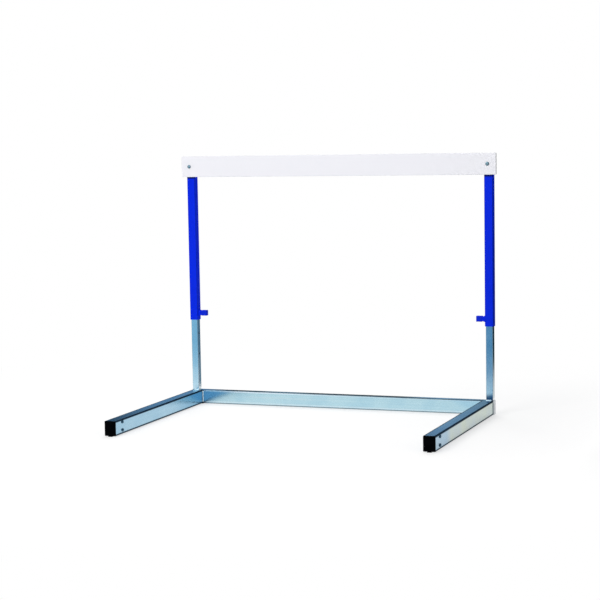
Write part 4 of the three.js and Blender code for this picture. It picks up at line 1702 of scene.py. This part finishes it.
@dataclass(frozen=True)
class Assembly:
    """A sub-assembly, whose pieces ride on one body."""

    workshop: Workshop
    body: str

    @property
    def finishes(self) -> Finishes:
        """The workshop's finishes."""
        return self.workshop.finishes

    def fit(
        self, name: str, node: str, finish: Finish, mesh: Mesh, matrix: Matrix = Matrix()
    ) -> None:
        """Joins a piece, which stands for one node, to the body."""
        self.workshop.place(name, node, self.body, finish, mesh, matrix)


@dataclass(frozen=True)
class Base(Assembly):
    """The U-shaped base: rail, posts, legs, their welds, plugs, caps, pads and counterweight bolts."""

    post_hole_radius: float = 3.6 * MM
    post_holes: int = 5
    setting_step: float = 76.2 * MM
    pad_hole_radius: float = 3.0 * MM
    bolt_hole_radius: float = 3.3 * MM
    bolt_seat_gap: float = 0.25 * MM
    weld_reach: float = 3.5 * MM
    weld_sink: float = 1.3 * MM
    post_bead_seed: float = 2.0
    leg_bead_seed: float = 7.0
    cap: FrontCap = FrontCap()
    plug: Plug = Plug()
    pad: RearPad = RearPad()
    weld: Weld = Weld()
    fasteners: Fasteners = Fasteners()

    def build(self) -> None:
        """Builds the whole base."""
        self._rail()
        for side in Side:
            self._rail_ends(side)
            self._post(side)
            self._leg(side)
            self._welds(side)
            self._counterweight(side)

    def _rail(self) -> None:
        """Builds the rail across the back, with the holes of its pads."""
        box, finish = Box.of("cross_rail"), self.finishes.zinc_x
        pads = [Box.of(side.of("rail_foot_pad")).centre.x for side in Side]
        holes = self.workshop.holes(
            (0.0, -box.size.z / 2, pads[0] - box.low.x), self.pad_hole_radius, THROUGH_WALL,
            Drilling.ALONG_Y, 2, (0.0, 0.0, pads[1] - pads[0]),
        )
        mesh = self.workshop.tube(box.size.y, box.size.z, box.size.x, finish, holes)
        matrix = box.lying(Facing.RIGHT, box.low.x)
        self.fit("cross_rail_tube", "cross_rail", finish, mesh, matrix)

    def _rail_ends(self, side: Side) -> None:
        """Builds the plug in one end of the rail and the pad under it.

        Args:
            side: the half that they are on.
        """
        rail = Box.of("cross_rail")
        node = side.of("rail_end_plug")
        start = Box.of(node).outer(side) - side.sign * self.plug.flange
        matrix = rail.lying(side.outwards, start)
        mesh = self.plug.mesh(rail.size.y, rail.size.z)
        self.fit(side.of("rail_plug"), node, self.finishes.grey_plastic, mesh, matrix)
        node = side.of("rail_foot_pad")
        matrix = Box.of(node).standing(0.0)
        self.fit(side.of("rear_pad"), node, self.finishes.rubber, self.pad.mesh(rail.low.z), matrix)

    def _post(self, side: Side) -> None:
        """Builds a post with its row of setting holes.

        Args:
            side: the half that it is on.
        """
        node, finish = side.of("post"), self.finishes.zinc_z
        box = Box.of(node)
        lowest = LATCH_AXIS_HEIGHT - (self.post_holes // 2) * self.setting_step
        holes = self.workshop.holes(
            (-side.sign * box.size.x / 2, 0.0, lowest - box.low.z), self.post_hole_radius, THROUGH_WALL,
            Drilling.ALONG_X, self.post_holes, (0.0, 0.0, self.setting_step),
        )
        mesh = self.workshop.tube(*box.size, finish, holes)
        matrix = box.standing(box.low.z)
        self.fit(side.of("post_tube"), node, finish, mesh, matrix)
        self.workshop.dress(side.of("post_top_plug"), self.finishes.black_plastic)

    def _leg(self, side: Side) -> None:
        """Builds a leg and the cap on its front end.

        Args:
            side: the half that they are on.
        """
        node, finish = side.of("leg"), self.finishes.zinc_y
        box = Box.of(node)
        lower, upper = (Box.of(f"{side.of('weight_bolt')}_{level}").centre for level in ("lower", "upper"))
        holes = self.workshop.holes(
            (0.0, lower.z - box.centre.z, box.high.y - lower.y), self.bolt_hole_radius, 2 * box.size.x,
            Drilling.ALONG_X, 2, (0.0, upper.z - lower.z, 0.0),
        )
        mesh = self.workshop.tube(box.size.x, box.size.z, box.size.y, finish, holes)
        matrix = Facing.FRONT.matrix(box.centre.x, box.high.y, box.centre.z)
        self.fit(side.of("leg_tube"), node, finish, mesh, matrix)
        node = side.of("leg_front_cap")
        cap = Box.of(node)
        mesh = self.cap.mesh(self.workshop, box.size.x, box.size.z, box.low.z - cap.low.z)
        end = cap.low.y + self.cap.foot_proud + self.cap.flange
        matrix = Facing.FRONT.matrix(box.centre.x, end, box.centre.z)
        self.fit(side.of("leg_cap"), node, self.finishes.black_plastic, mesh, matrix)

    def _welds(self, side: Side) -> None:
        """Lays the beads at a post's foot and in the corner between a leg and the rail.

        Args:
            side: the half that they are on.
        """
        finish = self.finishes.weld
        inset = self.weld_reach + self.weld_sink
        node = side.of("post_weld")
        box = Box.of(node)
        inner, front, height = box.inner(side) + side.sign * inset, box.low.y + inset, box.low.z
        path = [(box.outer(side), front, height), (inner, front, height), (inner, box.high.y, height)]
        mesh = self.weld.mesh(self.workshop, path, self.post_bead_seed + side.sign)
        self.fit(side.of("post_bead"), node, finish, mesh)
        node = side.of("leg_weld")
        box = Box.of(node)
        path = [(box.outer(side), box.high.y, height) for height in (box.low.z, box.high.z)]
        mesh = self.weld.mesh(self.workshop, path, self.leg_bead_seed + side.sign)
        self.fit(side.of("leg_bead"), node, finish, mesh)

    def _counterweight(self, side: Side) -> None:
        """Builds the two bolts that hold the weight in a leg, and their nuts.

        Args:
            side: the half that they are on.
        """
        finish = self.finishes.shaded_fastener
        self.workshop.dress(side.of("leg_counterweight"), self.finishes.raw_steel)
        seat = Box.of(side.of("leg")).high.x + self.bolt_seat_gap
        for level in ("lower", "upper"):
            bolt_node, nut_node = (f"{side.of(kind)}_{level}" for kind in ("weight_bolt", "weight_nut"))
            bolt, nut = Box.of(bolt_node), Box.of(nut_node)
            mesh = self.fasteners.bolt(self.workshop, seat - bolt.low.x, finish)
            matrix = bolt.lying(Facing.RIGHT, seat)
            self.fit(f"counterweight_bolt_{side.value}_{level}", bolt_node, finish, mesh, matrix)
            mesh = self.fasteners.nut(self.workshop, nut.size.x, finish)
            matrix = nut.lying(Facing.RIGHT, nut.low.x)
            self.fit(f"counterweight_nut_{side.value}_{level}", nut_node, finish, mesh, matrix)


@dataclass(frozen=True)
class LatchHousing:
    """The housing on a sleeve's inner side: a base and a boss with a round chamber."""

    width: float = 18.0 * MM
    height: float = 20.0 * MM
    corner_radius: float = 2.0 * MM
    base_length: float = 6.5 * MM
    floor: float = 5.0 * MM
    boss_inset: float = 1.8 * MM
    boss_end: float = 23.0 * MM
    edge: float = 0.5 * MM
    chamber_radius: float = 5.2 * MM
    pin_hole_radius: float = 3.3 * MM
    seat_gap: float = 0.25 * MM

    def mesh(self, workshop: Workshop) -> Mesh:
        """Makes the housing, whose axis starts on the sleeve's inner side.

        Args:
            workshop: drills the chamber and the pin's hole.

        Returns:
            The housing's mesh.
        """
        base = Outline(self.width, self.height, self.corner_radius)
        narrow = 2 * self.boss_inset
        boss = Outline(self.width - narrow, self.height - narrow, self.corner_radius)
        base_profile = [(0.0, self.seat_gap), *bevel_down(self.edge, self.base_length)]
        boss_profile = [(0.0, self.base_length), *bevel_down(self.edge, self.boss_end)]
        blank = Form().loft((base, base_profile), (boss, boss_profile)).mesh("housing")
        chamber_length = 2 * (self.boss_end - self.floor)
        chamber = workshop.holes((0.0, 0.0, self.boss_end), self.chamber_radius, chamber_length)
        pin_hole = workshop.holes((0.0, 0.0, self.floor), self.pin_hole_radius, 4 * self.floor)
        return workshop.run(blank, workshop.finishes.blue_paint, chamber, pin_hole)


@dataclass(frozen=True)
class BarFrame(Assembly):
    """What slides up and down: the crossbar, its bolts and the two sleeves with their latch housings."""

    bar_corner_radius: float = 4.0 * MM
    bar_edge: float = 1.5 * MM
    bolt_hole_radius: float = 3.3 * MM
    plug: Plug = Plug()
    housing: LatchHousing = LatchHousing()
    fasteners: Fasteners = Fasteners()

    def build(self) -> None:
        """Builds the crossbar and both sleeves."""
        self._crossbar()
        for side in Side:
            self._sleeve(side)
            self._bolt(side)

    def _crossbar(self) -> None:
        """Builds the board with its two bolt holes."""
        box, finish = Box.of("crossbar"), self.finishes.board
        sleeves = [Box.of(side.of("sleeve")).centre.x for side in Side]
        outline = Outline(box.size.x, box.size.z, self.bar_corner_radius)
        board = Form().loft((outline, prism_profile(box.size.y, self.bar_edge))).mesh("board")
        holes = self.workshop.holes(
            (sleeves[0], 0.0, box.size.y / 2), self.bolt_hole_radius, 2 * box.size.y,
            count=2, step=(sleeves[1] - sleeves[0], 0.0, 0.0),
        )
        mesh = self.workshop.run(board, finish, holes)
        matrix = Facing.FRONT.matrix(box.centre.x, box.high.y, box.centre.z)
        self.fit("crossbar_board", "crossbar", finish, mesh, matrix)

    def _sleeve(self, side: Side) -> None:
        """Builds a sleeve, its top plug and its latch housing.

        Args:
            side: the half that they are on.
        """
        node = side.of("sleeve")
        box = Box.of(node)
        bolt_hole = self.workshop.holes(
            (0.0, 0.0, Box.of("crossbar").centre.z - box.low.z), self.bolt_hole_radius, 2 * box.size.y,
            Drilling.ALONG_Y,
        )
        pin_hole = self.workshop.holes(
            (-side.sign * box.size.x / 2, 0.0, LATCH_AXIS_HEIGHT - box.low.z), self.bolt_hole_radius,
            THROUGH_WALL, Drilling.ALONG_X,
        )
        mesh = self.workshop.tube(*box.size, self.finishes.blue_paint, bolt_hole, pin_hole)
        matrix = box.standing(box.low.z)
        self.fit(side.of("sleeve_tube"), node, self.finishes.blue_paint, mesh, matrix)
        node = side.of("sleeve_top_plug")
        matrix = box.standing(Box.of(node).high.z - self.plug.flange)
        mesh = self.plug.mesh(box.size.x, box.size.y)
        self.fit(side.of("sleeve_plug"), node, self.finishes.black_plastic, mesh, matrix)
        matrix = side.inwards.matrix(box.inner(side), box.centre.y, LATCH_AXIS_HEIGHT)
        mesh = self.housing.mesh(self.workshop)
        self.fit(side.of("latch_body"), side.of("latch_housing"), self.finishes.blue_paint, mesh, matrix)
        self.workshop.dress(side.of("latch_end_bush"), self.finishes.shaded_fastener)

    def _bolt(self, side: Side) -> None:
        """Builds the bolt through the crossbar and a sleeve, with its washers and nut.

        Args:
            side: the half that they are on.
        """
        # the bolt's head gets the painted highlight, the washers and nut the painted shade
        dark, bright = self.finishes.shaded_fastener, self.finishes.lit_bolt_head
        kinds = ("bolt", "front_washer", "rear_washer", "nut")
        nodes = [side.of(f"crossbar_{kind}") for kind in kinds]
        bolt, front, rear, nut = (Box.of(node) for node in nodes)
        seat = bolt.low.y + self.fasteners.head_height
        bolt_mesh = self.fasteners.bolt(self.workshop, bolt.high.y - seat, bright)
        nut_mesh = self.fasteners.nut(self.workshop, nut.size.y, dark)
        washers = [self.fasteners.washer(front.size.x / 2, front.size.y) for _ in range(2)]
        pieces = (
            ("bar_bolt", bolt_mesh, Facing.FRONT, seat, bright),
            ("bar_washer_in_front", washers[0], Facing.FRONT, front.high.y, dark),
            ("bar_washer_behind", washers[1], Facing.BACK, rear.low.y, dark),
            ("bar_nut_behind", nut_mesh, Facing.BACK, nut.low.y, dark),
        )
        for node, (name, mesh, facing, y, finish) in zip(nodes, pieces):
            self.fit(side.of(name), node, finish, mesh, facing.matrix(bolt.centre.x, y, bolt.centre.z))


@dataclass(frozen=True)
class Latch(Assembly):
    """A sprung pin with its knob, whose lengths are measured from the sleeve's inner side."""

    side: Side
    knob_width: float = 18.0 * MM
    knob_height: float = 20.0 * MM
    knob_corner_radius: float = 2.0 * MM
    knob_wall: float = 1.5 * MM
    knob_end_wall: float = 3.5 * MM
    knob_edge: float = 0.8 * MM
    skirt_edge: float = 0.4 * MM
    groove_depth: float = 0.35 * MM
    groove_pitch: float = 3.0 * MM
    grooves: int = 3
    pin_radius: float = 3.0 * MM
    pin_chamfer: float = 1.0 * MM
    stem_radius: float = 2.0 * MM
    collar_radius: float = 4.9 * MM
    collar_start: float = 11.0 * MM
    collar_end: float = 13.0 * MM
    bush_start: float = 20.5 * MM
    spring_gap: float = 0.3 * MM
    wire_radius: float = 0.35 * MM
    coil_radius: float = 4.55 * MM
    coil_turns: float = 3.5
    coil_steps: int = 24

    @property
    def start(self) -> float:
        """Where along X the latch's axis leaves the sleeve."""
        return Box.of(self.side.of("sleeve")).inner(self.side)

    @property
    def matrix(self) -> Matrix:
        """Turns a form to the latch's axis, which points to the other sleeve."""
        return Box.of(self.side.of("latch_pin")).lying(self.side.inwards, self.start)

    def _span(self, node: str) -> Pair:
        """Finds where a node starts and ends along the latch's axis.

        Args:
            node: the node's name.

        Returns:
            Both places, from the sleeve's inner side.
        """
        box = Box.of(node)
        ends = [(x - self.start) * -self.side.sign for x in (box.low.x, box.high.x)]
        return min(ends), max(ends)

    def build(self) -> None:
        """Builds the knob, the pin and the spring."""
        self._knob()
        self._pin()
        self._spring()

    def _knob(self) -> None:
        """Builds the knob, whose skirt slides over the housing's boss."""
        node = self.side.of("latch_knob")
        start, end = self._span(node)
        outline = Outline(self.knob_width, self.knob_height, self.knob_corner_radius)
        profile = [(self.knob_wall, end - self.knob_end_wall), (self.knob_wall, start)]
        profile += bevel_up(self.skirt_edge, start)
        first = (start + end - (self.grooves - 1) * self.groove_pitch) / 2
        for index in range(self.grooves):
            middle = first + index * self.groove_pitch
            profile += [
                (0.0, middle - 2 * self.groove_depth),
                (self.groove_depth, middle - self.groove_depth / 2),
                (self.groove_depth, middle + self.groove_depth / 2),
                (0.0, middle + 2 * self.groove_depth),
            ]
        profile += bevel_down(self.knob_edge, end)
        mesh = Form().loft((outline, profile)).mesh("knob")
        self.fit(self.side.of("pull_knob"), node, self.finishes.blue_plastic, mesh, self.matrix)

    def _pin(self) -> None:
        """Builds the pin with its collar and stem."""
        node = self.side.of("latch_pin")
        start, end = self._span(node)
        pin, stem = self.collar_radius - self.pin_radius, self.collar_radius - self.stem_radius
        profile = [
            (pin + self.pin_chamfer, start), (pin, start + self.pin_chamfer), (pin, self.collar_start),
            (0.0, self.collar_start), (0.0, self.collar_end), (stem, self.collar_end), (stem, end),
        ]
        mesh = Form().loft((Outline.circle(self.collar_radius), profile)).mesh("pin")
        self.fit(self.side.of("locking_pin"), node, self.finishes.shaded_fastener, mesh, self.matrix)

    def _spring(self) -> None:
        """Winds the spring between the pin's collar and the bush."""
        start = self.collar_end + self.spring_gap + self.wire_radius
        end = self.bush_start - self.spring_gap - self.wire_radius
        finish, matrix = self.finishes.spring_steel, self.matrix
        values = {
            "Turns": self.coil_turns, "Steps per Turn": self.coil_steps, "Coil Radius": self.coil_radius,
            "Length": end - start, "Wire Radius": self.wire_radius,
        }
        mesh = self.workshop.run(bpy.data.meshes.new("coil"), finish, (self.workshop.coil, values))
        node = self.side.of("latch_spring")
        shifted = matrix @ Matrix.Translation((0.0, 0.0, start))
        spring = self.workshop.place(self.side.of("coil_spring"), node, None, finish, mesh, shifted)
        fixed, moved = (tuple(matrix @ Vector((0.0, 0.0, along))) for along in (end, start))
        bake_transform(spring)
        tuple(fixed)
        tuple(moved)


def add_to_scene(name: str, data: bpy.types.ID) -> bpy.types.Object:
    """Makes an object and adds it to the scene.

    Args:
        name: the object's name.
        data: its lamp, camera or mesh.

    Returns:
        The object.
    """
    made = bpy.data.objects.new(name, data)
    bpy.context.scene.collection.objects.link(made)
    return made


@dataclass(frozen=True)
class AreaLamp:
    """A soft rectangular lamp that points at the hurdle."""

    name: str
    place: Place
    width: float
    height: float
    power: float

    def build(self, target: Vector) -> None:
        """Adds the lamp to the scene.

        Args:
            target: what it points at.
        """
        data = bpy.data.lights.new(self.name, "AREA")
        data.shape = "RECTANGLE"
        data.size = self.width
        data.size_y = self.height
        data.energy = self.power
        lamp = add_to_scene(self.name, data)
        lamp.location = self.place
        lamp.rotation_euler = (target - Vector(self.place)).to_track_quat("-Z", "Y").to_euler()
        lamp.visible_camera = False
        LOG.info("%s: %.0f W", self.name, self.power)


Tones = tuple[tuple[float, Colour], ...]  # along a card, from its start at 0 to its end at 1

DIM = (0.03, 0.04, 0.05)


@dataclass(frozen=True)
class RoomCard:
    """An upright card out of sight, which shows in bright metal as the dim room round a lit floor does."""

    name: str
    start: Pair
    end: Pair
    height: float
    tones: Tones
    upper_tone: Colour
    fade: Pair  # the heights between which the tones go over into the upper one
    shades: bool = False  # it also keeps light off what stands beside it
    bottom: float = 0.0

    def build(self) -> None:
        """Stands the card in its place."""
        shading = Shading(self.name)
        height = shading.along("Z")
        ramp = shading.node("ShaderNodeValToRGB", {"stops": self.tones}, {"Fac": shading.attribute("along")})
        glow = shading.glow(shading.mix(height.ease(*self.fade), ramp, self.upper_tone))
        mesh = bpy.data.meshes.new(self.name)
        lower = [(*self.start, self.bottom), (*self.end, self.bottom)]
        upper = [(*self.end, self.height), (*self.start, self.height)]
        mesh.from_pydata(lower + upper, [], [(0, 1, 2, 3)])
        mesh.attributes.new("along", "FLOAT", "POINT").data.foreach_set("value", (0.0, 1.0, 1.0, 0.0))
        mesh.materials.append(shading.end(glow))
        card = add_to_scene(self.name, mesh)
        card.visible_camera = False
        card.visible_transmission = False
        card.visible_diffuse = self.shades
        card.visible_shadow = self.shades
        LOG.info("%s: %.1f m high", self.name, self.height)


@dataclass(frozen=True)
class Studio:
    """A plain pale floor, soft light and the camera at the photograph's angle."""

    camera_place: Place = (2.067, -5.6667, 1.0155)
    camera_yaw: float = math.radians(21.12)
    camera_pitch: float = math.radians(6.17)
    camera_roll: float = math.radians(-1.07)
    camera_focal: float = 1785.2  # pixels
    camera_centre: Pair = (270.0, 320.0)  # pixels, from the picture's left and top edges
    floor_half_size: float = 30.0
    floor_shade: float = 0.8
    floor_shadow: float = 0.4  # how much of the shadow near the hurdle shows
    floor_clear: Pair = (0.9, 2.0)  # the distances between which the floor clears to white
    ambient: float = 0.5
    lamps: tuple[AreaLamp, ...] = (
        AreaLamp("key_lamp", (-1.7, -5.6, 4.0), width=3.2, height=2.6, power=193.0),
        AreaLamp("fill_lamp", (4.2, -2.6, 2.6), width=3.0, height=2.4, power=28.0),
        AreaLamp("top_lamp", (0.0, 0.0, 4.0), width=3.0, height=3.0, power=22.0),
        AreaLamp("back_lamp", (-0.8, 3.4, 3.8), width=3.0, height=2.4, power=80.0),
    )
    cards: tuple[RoomCard, ...] = (
        RoomCard(
            "card_behind", start=(-4.0, 0.75), end=(4.0, 0.75), height=2.0,
            tones=(
                (0.36, (0.035, 0.08, 0.13)), (0.385, (0.11, 0.24, 0.40)), (0.415, (0.13, 0.27, 0.44)),
                (0.425, DIM), (0.44, DIM), (0.45, (0.12, 0.21, 0.29)), (0.46, (0.12, 0.21, 0.29)),
                (0.47, DIM), (0.515, DIM), (0.53, (0.20, 0.36, 0.54)), (0.56, (0.14, 0.23, 0.30)),
            ),
            upper_tone=(0.006, 0.03, 0.07), fade=(0.24, 0.45),
        ),
        RoomCard(
            "card_behind_on_the_right", start=(0.59, 0.74), end=(4.0, 0.74), height=2.0,
            tones=((0.0, (0.50, 0.56, 0.58)), (1.0, (0.50, 0.56, 0.58))),
            upper_tone=(0.012, 0.04, 0.065), fade=(0.02, 0.17),
        ),
        RoomCard(
            "card_in_front", start=(-4.0, -0.42), end=(4.0, -0.42), height=0.5,
            tones=((0.40, (0.32, 0.58, 0.75)), (0.51, (0.11, 0.29, 0.48))),
            upper_tone=(0.25, 0.46, 0.65), fade=(0.3, 0.5),
        ),
        RoomCard(
            "card_on_the_right", start=(1.0, -0.2), end=(1.0, 1.3), height=0.82,
            tones=((0.0, (0.05, 0.06, 0.08)), (1.0, (0.05, 0.06, 0.08))),
            upper_tone=(0.05, 0.06, 0.08), fade=(0.5, 1.0), shades=True, bottom=0.2,
        ),
    )

    def build(self) -> None:
        """Builds the camera, the floor, the world, the lamps and the cards."""
        self._camera()
        self._floor()
        self._world()
        target = (Vector(CAD_BOUNDS[0]) + Vector(CAD_BOUNDS[1])) / 2
        for lamp in self.lamps:
            lamp.build(target)
        for card in self.cards:
            card.build()
        bpy.context.scene.view_settings.view_transform = "Standard"

    def _camera(self) -> None:
        """Places the camera as the photograph's lines give it."""
        yaw, pitch, roll = self.camera_yaw, self.camera_pitch, self.camera_roll
        ahead = math.cos(pitch)
        forward = Vector((-math.sin(yaw) * ahead, math.cos(yaw) * ahead, -math.sin(pitch)))
        level = Vector((math.cos(yaw), math.sin(yaw), 0.0))
        upward = level.cross(forward)
        right = level * math.cos(roll) + upward * math.sin(roll)
        top = upward * math.cos(roll) - level * math.sin(roll)
        data = bpy.data.cameras.new("camera")
        data.sensor_width = SENSOR_WIDTH
        data.lens = self.camera_focal * SENSOR_WIDTH / PICTURE_SIZE
        data.shift_x = (PICTURE_SIZE / 2 - self.camera_centre[0]) / PICTURE_SIZE
        data.shift_y = (self.camera_centre[1] - PICTURE_SIZE / 2) / PICTURE_SIZE
        camera = add_to_scene("camera", data)
        turn = Matrix((right, top, -forward)).transposed().to_4x4()
        camera.matrix_world = Matrix.Translation(Vector(self.camera_place)) @ turn
        bpy.context.scene.camera = camera

    def _floor(self) -> None:
        """Lays the floor, which keeps the shadow near the hurdle and clears to white away from it."""
        shading = Shading("pale_floor")
        place = shading.place((1.0, 1.0, 0.0))
        distance = shading.node("ShaderNodeVectorMath", {"operation": "LENGTH"}, {0: place}, "Value")
        seen = shading.seen()
        shade = shading.mix(seen, (self.floor_shade,) * 3, WHITE)
        matt = shading.node("ShaderNodeBsdfDiffuse", inputs={"Color": shade})
        clear = 1.0 - (1.0 - distance.ease(*self.floor_clear)) * self.floor_shadow
        mixed = shading.node("ShaderNodeMixShader", inputs={0: clear * seen, 1: matt, 2: shading.glow(WHITE)})
        half = self.floor_half_size
        mesh = bpy.data.meshes.new("floor")
        corners = [(-half, -half, 0.0), (half, -half, 0.0), (half, half, 0.0), (-half, half, 0.0)]
        mesh.from_pydata(corners, [], [(0, 1, 2, 3)])
        mesh.materials.append(shading.end(mixed))
        add_to_scene("floor", mesh)

    def _world(self) -> None:
        """Makes the surroundings white where they are seen and dimmer where they only light."""
        world = bpy.data.worlds.new("surroundings")
        world.use_nodes = True
        world.node_tree.nodes.clear()
        tree = Tree(world.node_tree)
        strength = self.ambient + tree.seen() * (1.0 - self.ambient)
        light = tree.node("ShaderNodeBackground", inputs={"Color": WHITE, "Strength": strength})
        tree.node("ShaderNodeOutputWorld", inputs={"Surface": light})
        bpy.context.scene.world = world


def main() -> None:
    """Builds the hurdle and the studio round it."""
    logging.basicConfig(level=logging.INFO, format="%(name)s: %(message)s")
    workshop = Workshop()
    Base(workshop, "base").build()
    BarFrame(workshop, SLIDING_BODY).build()
    for side in Side:
        Latch(workshop, side.of("latch"), side).build()
    Studio().build()


if __name__ == "__main__":
    main()
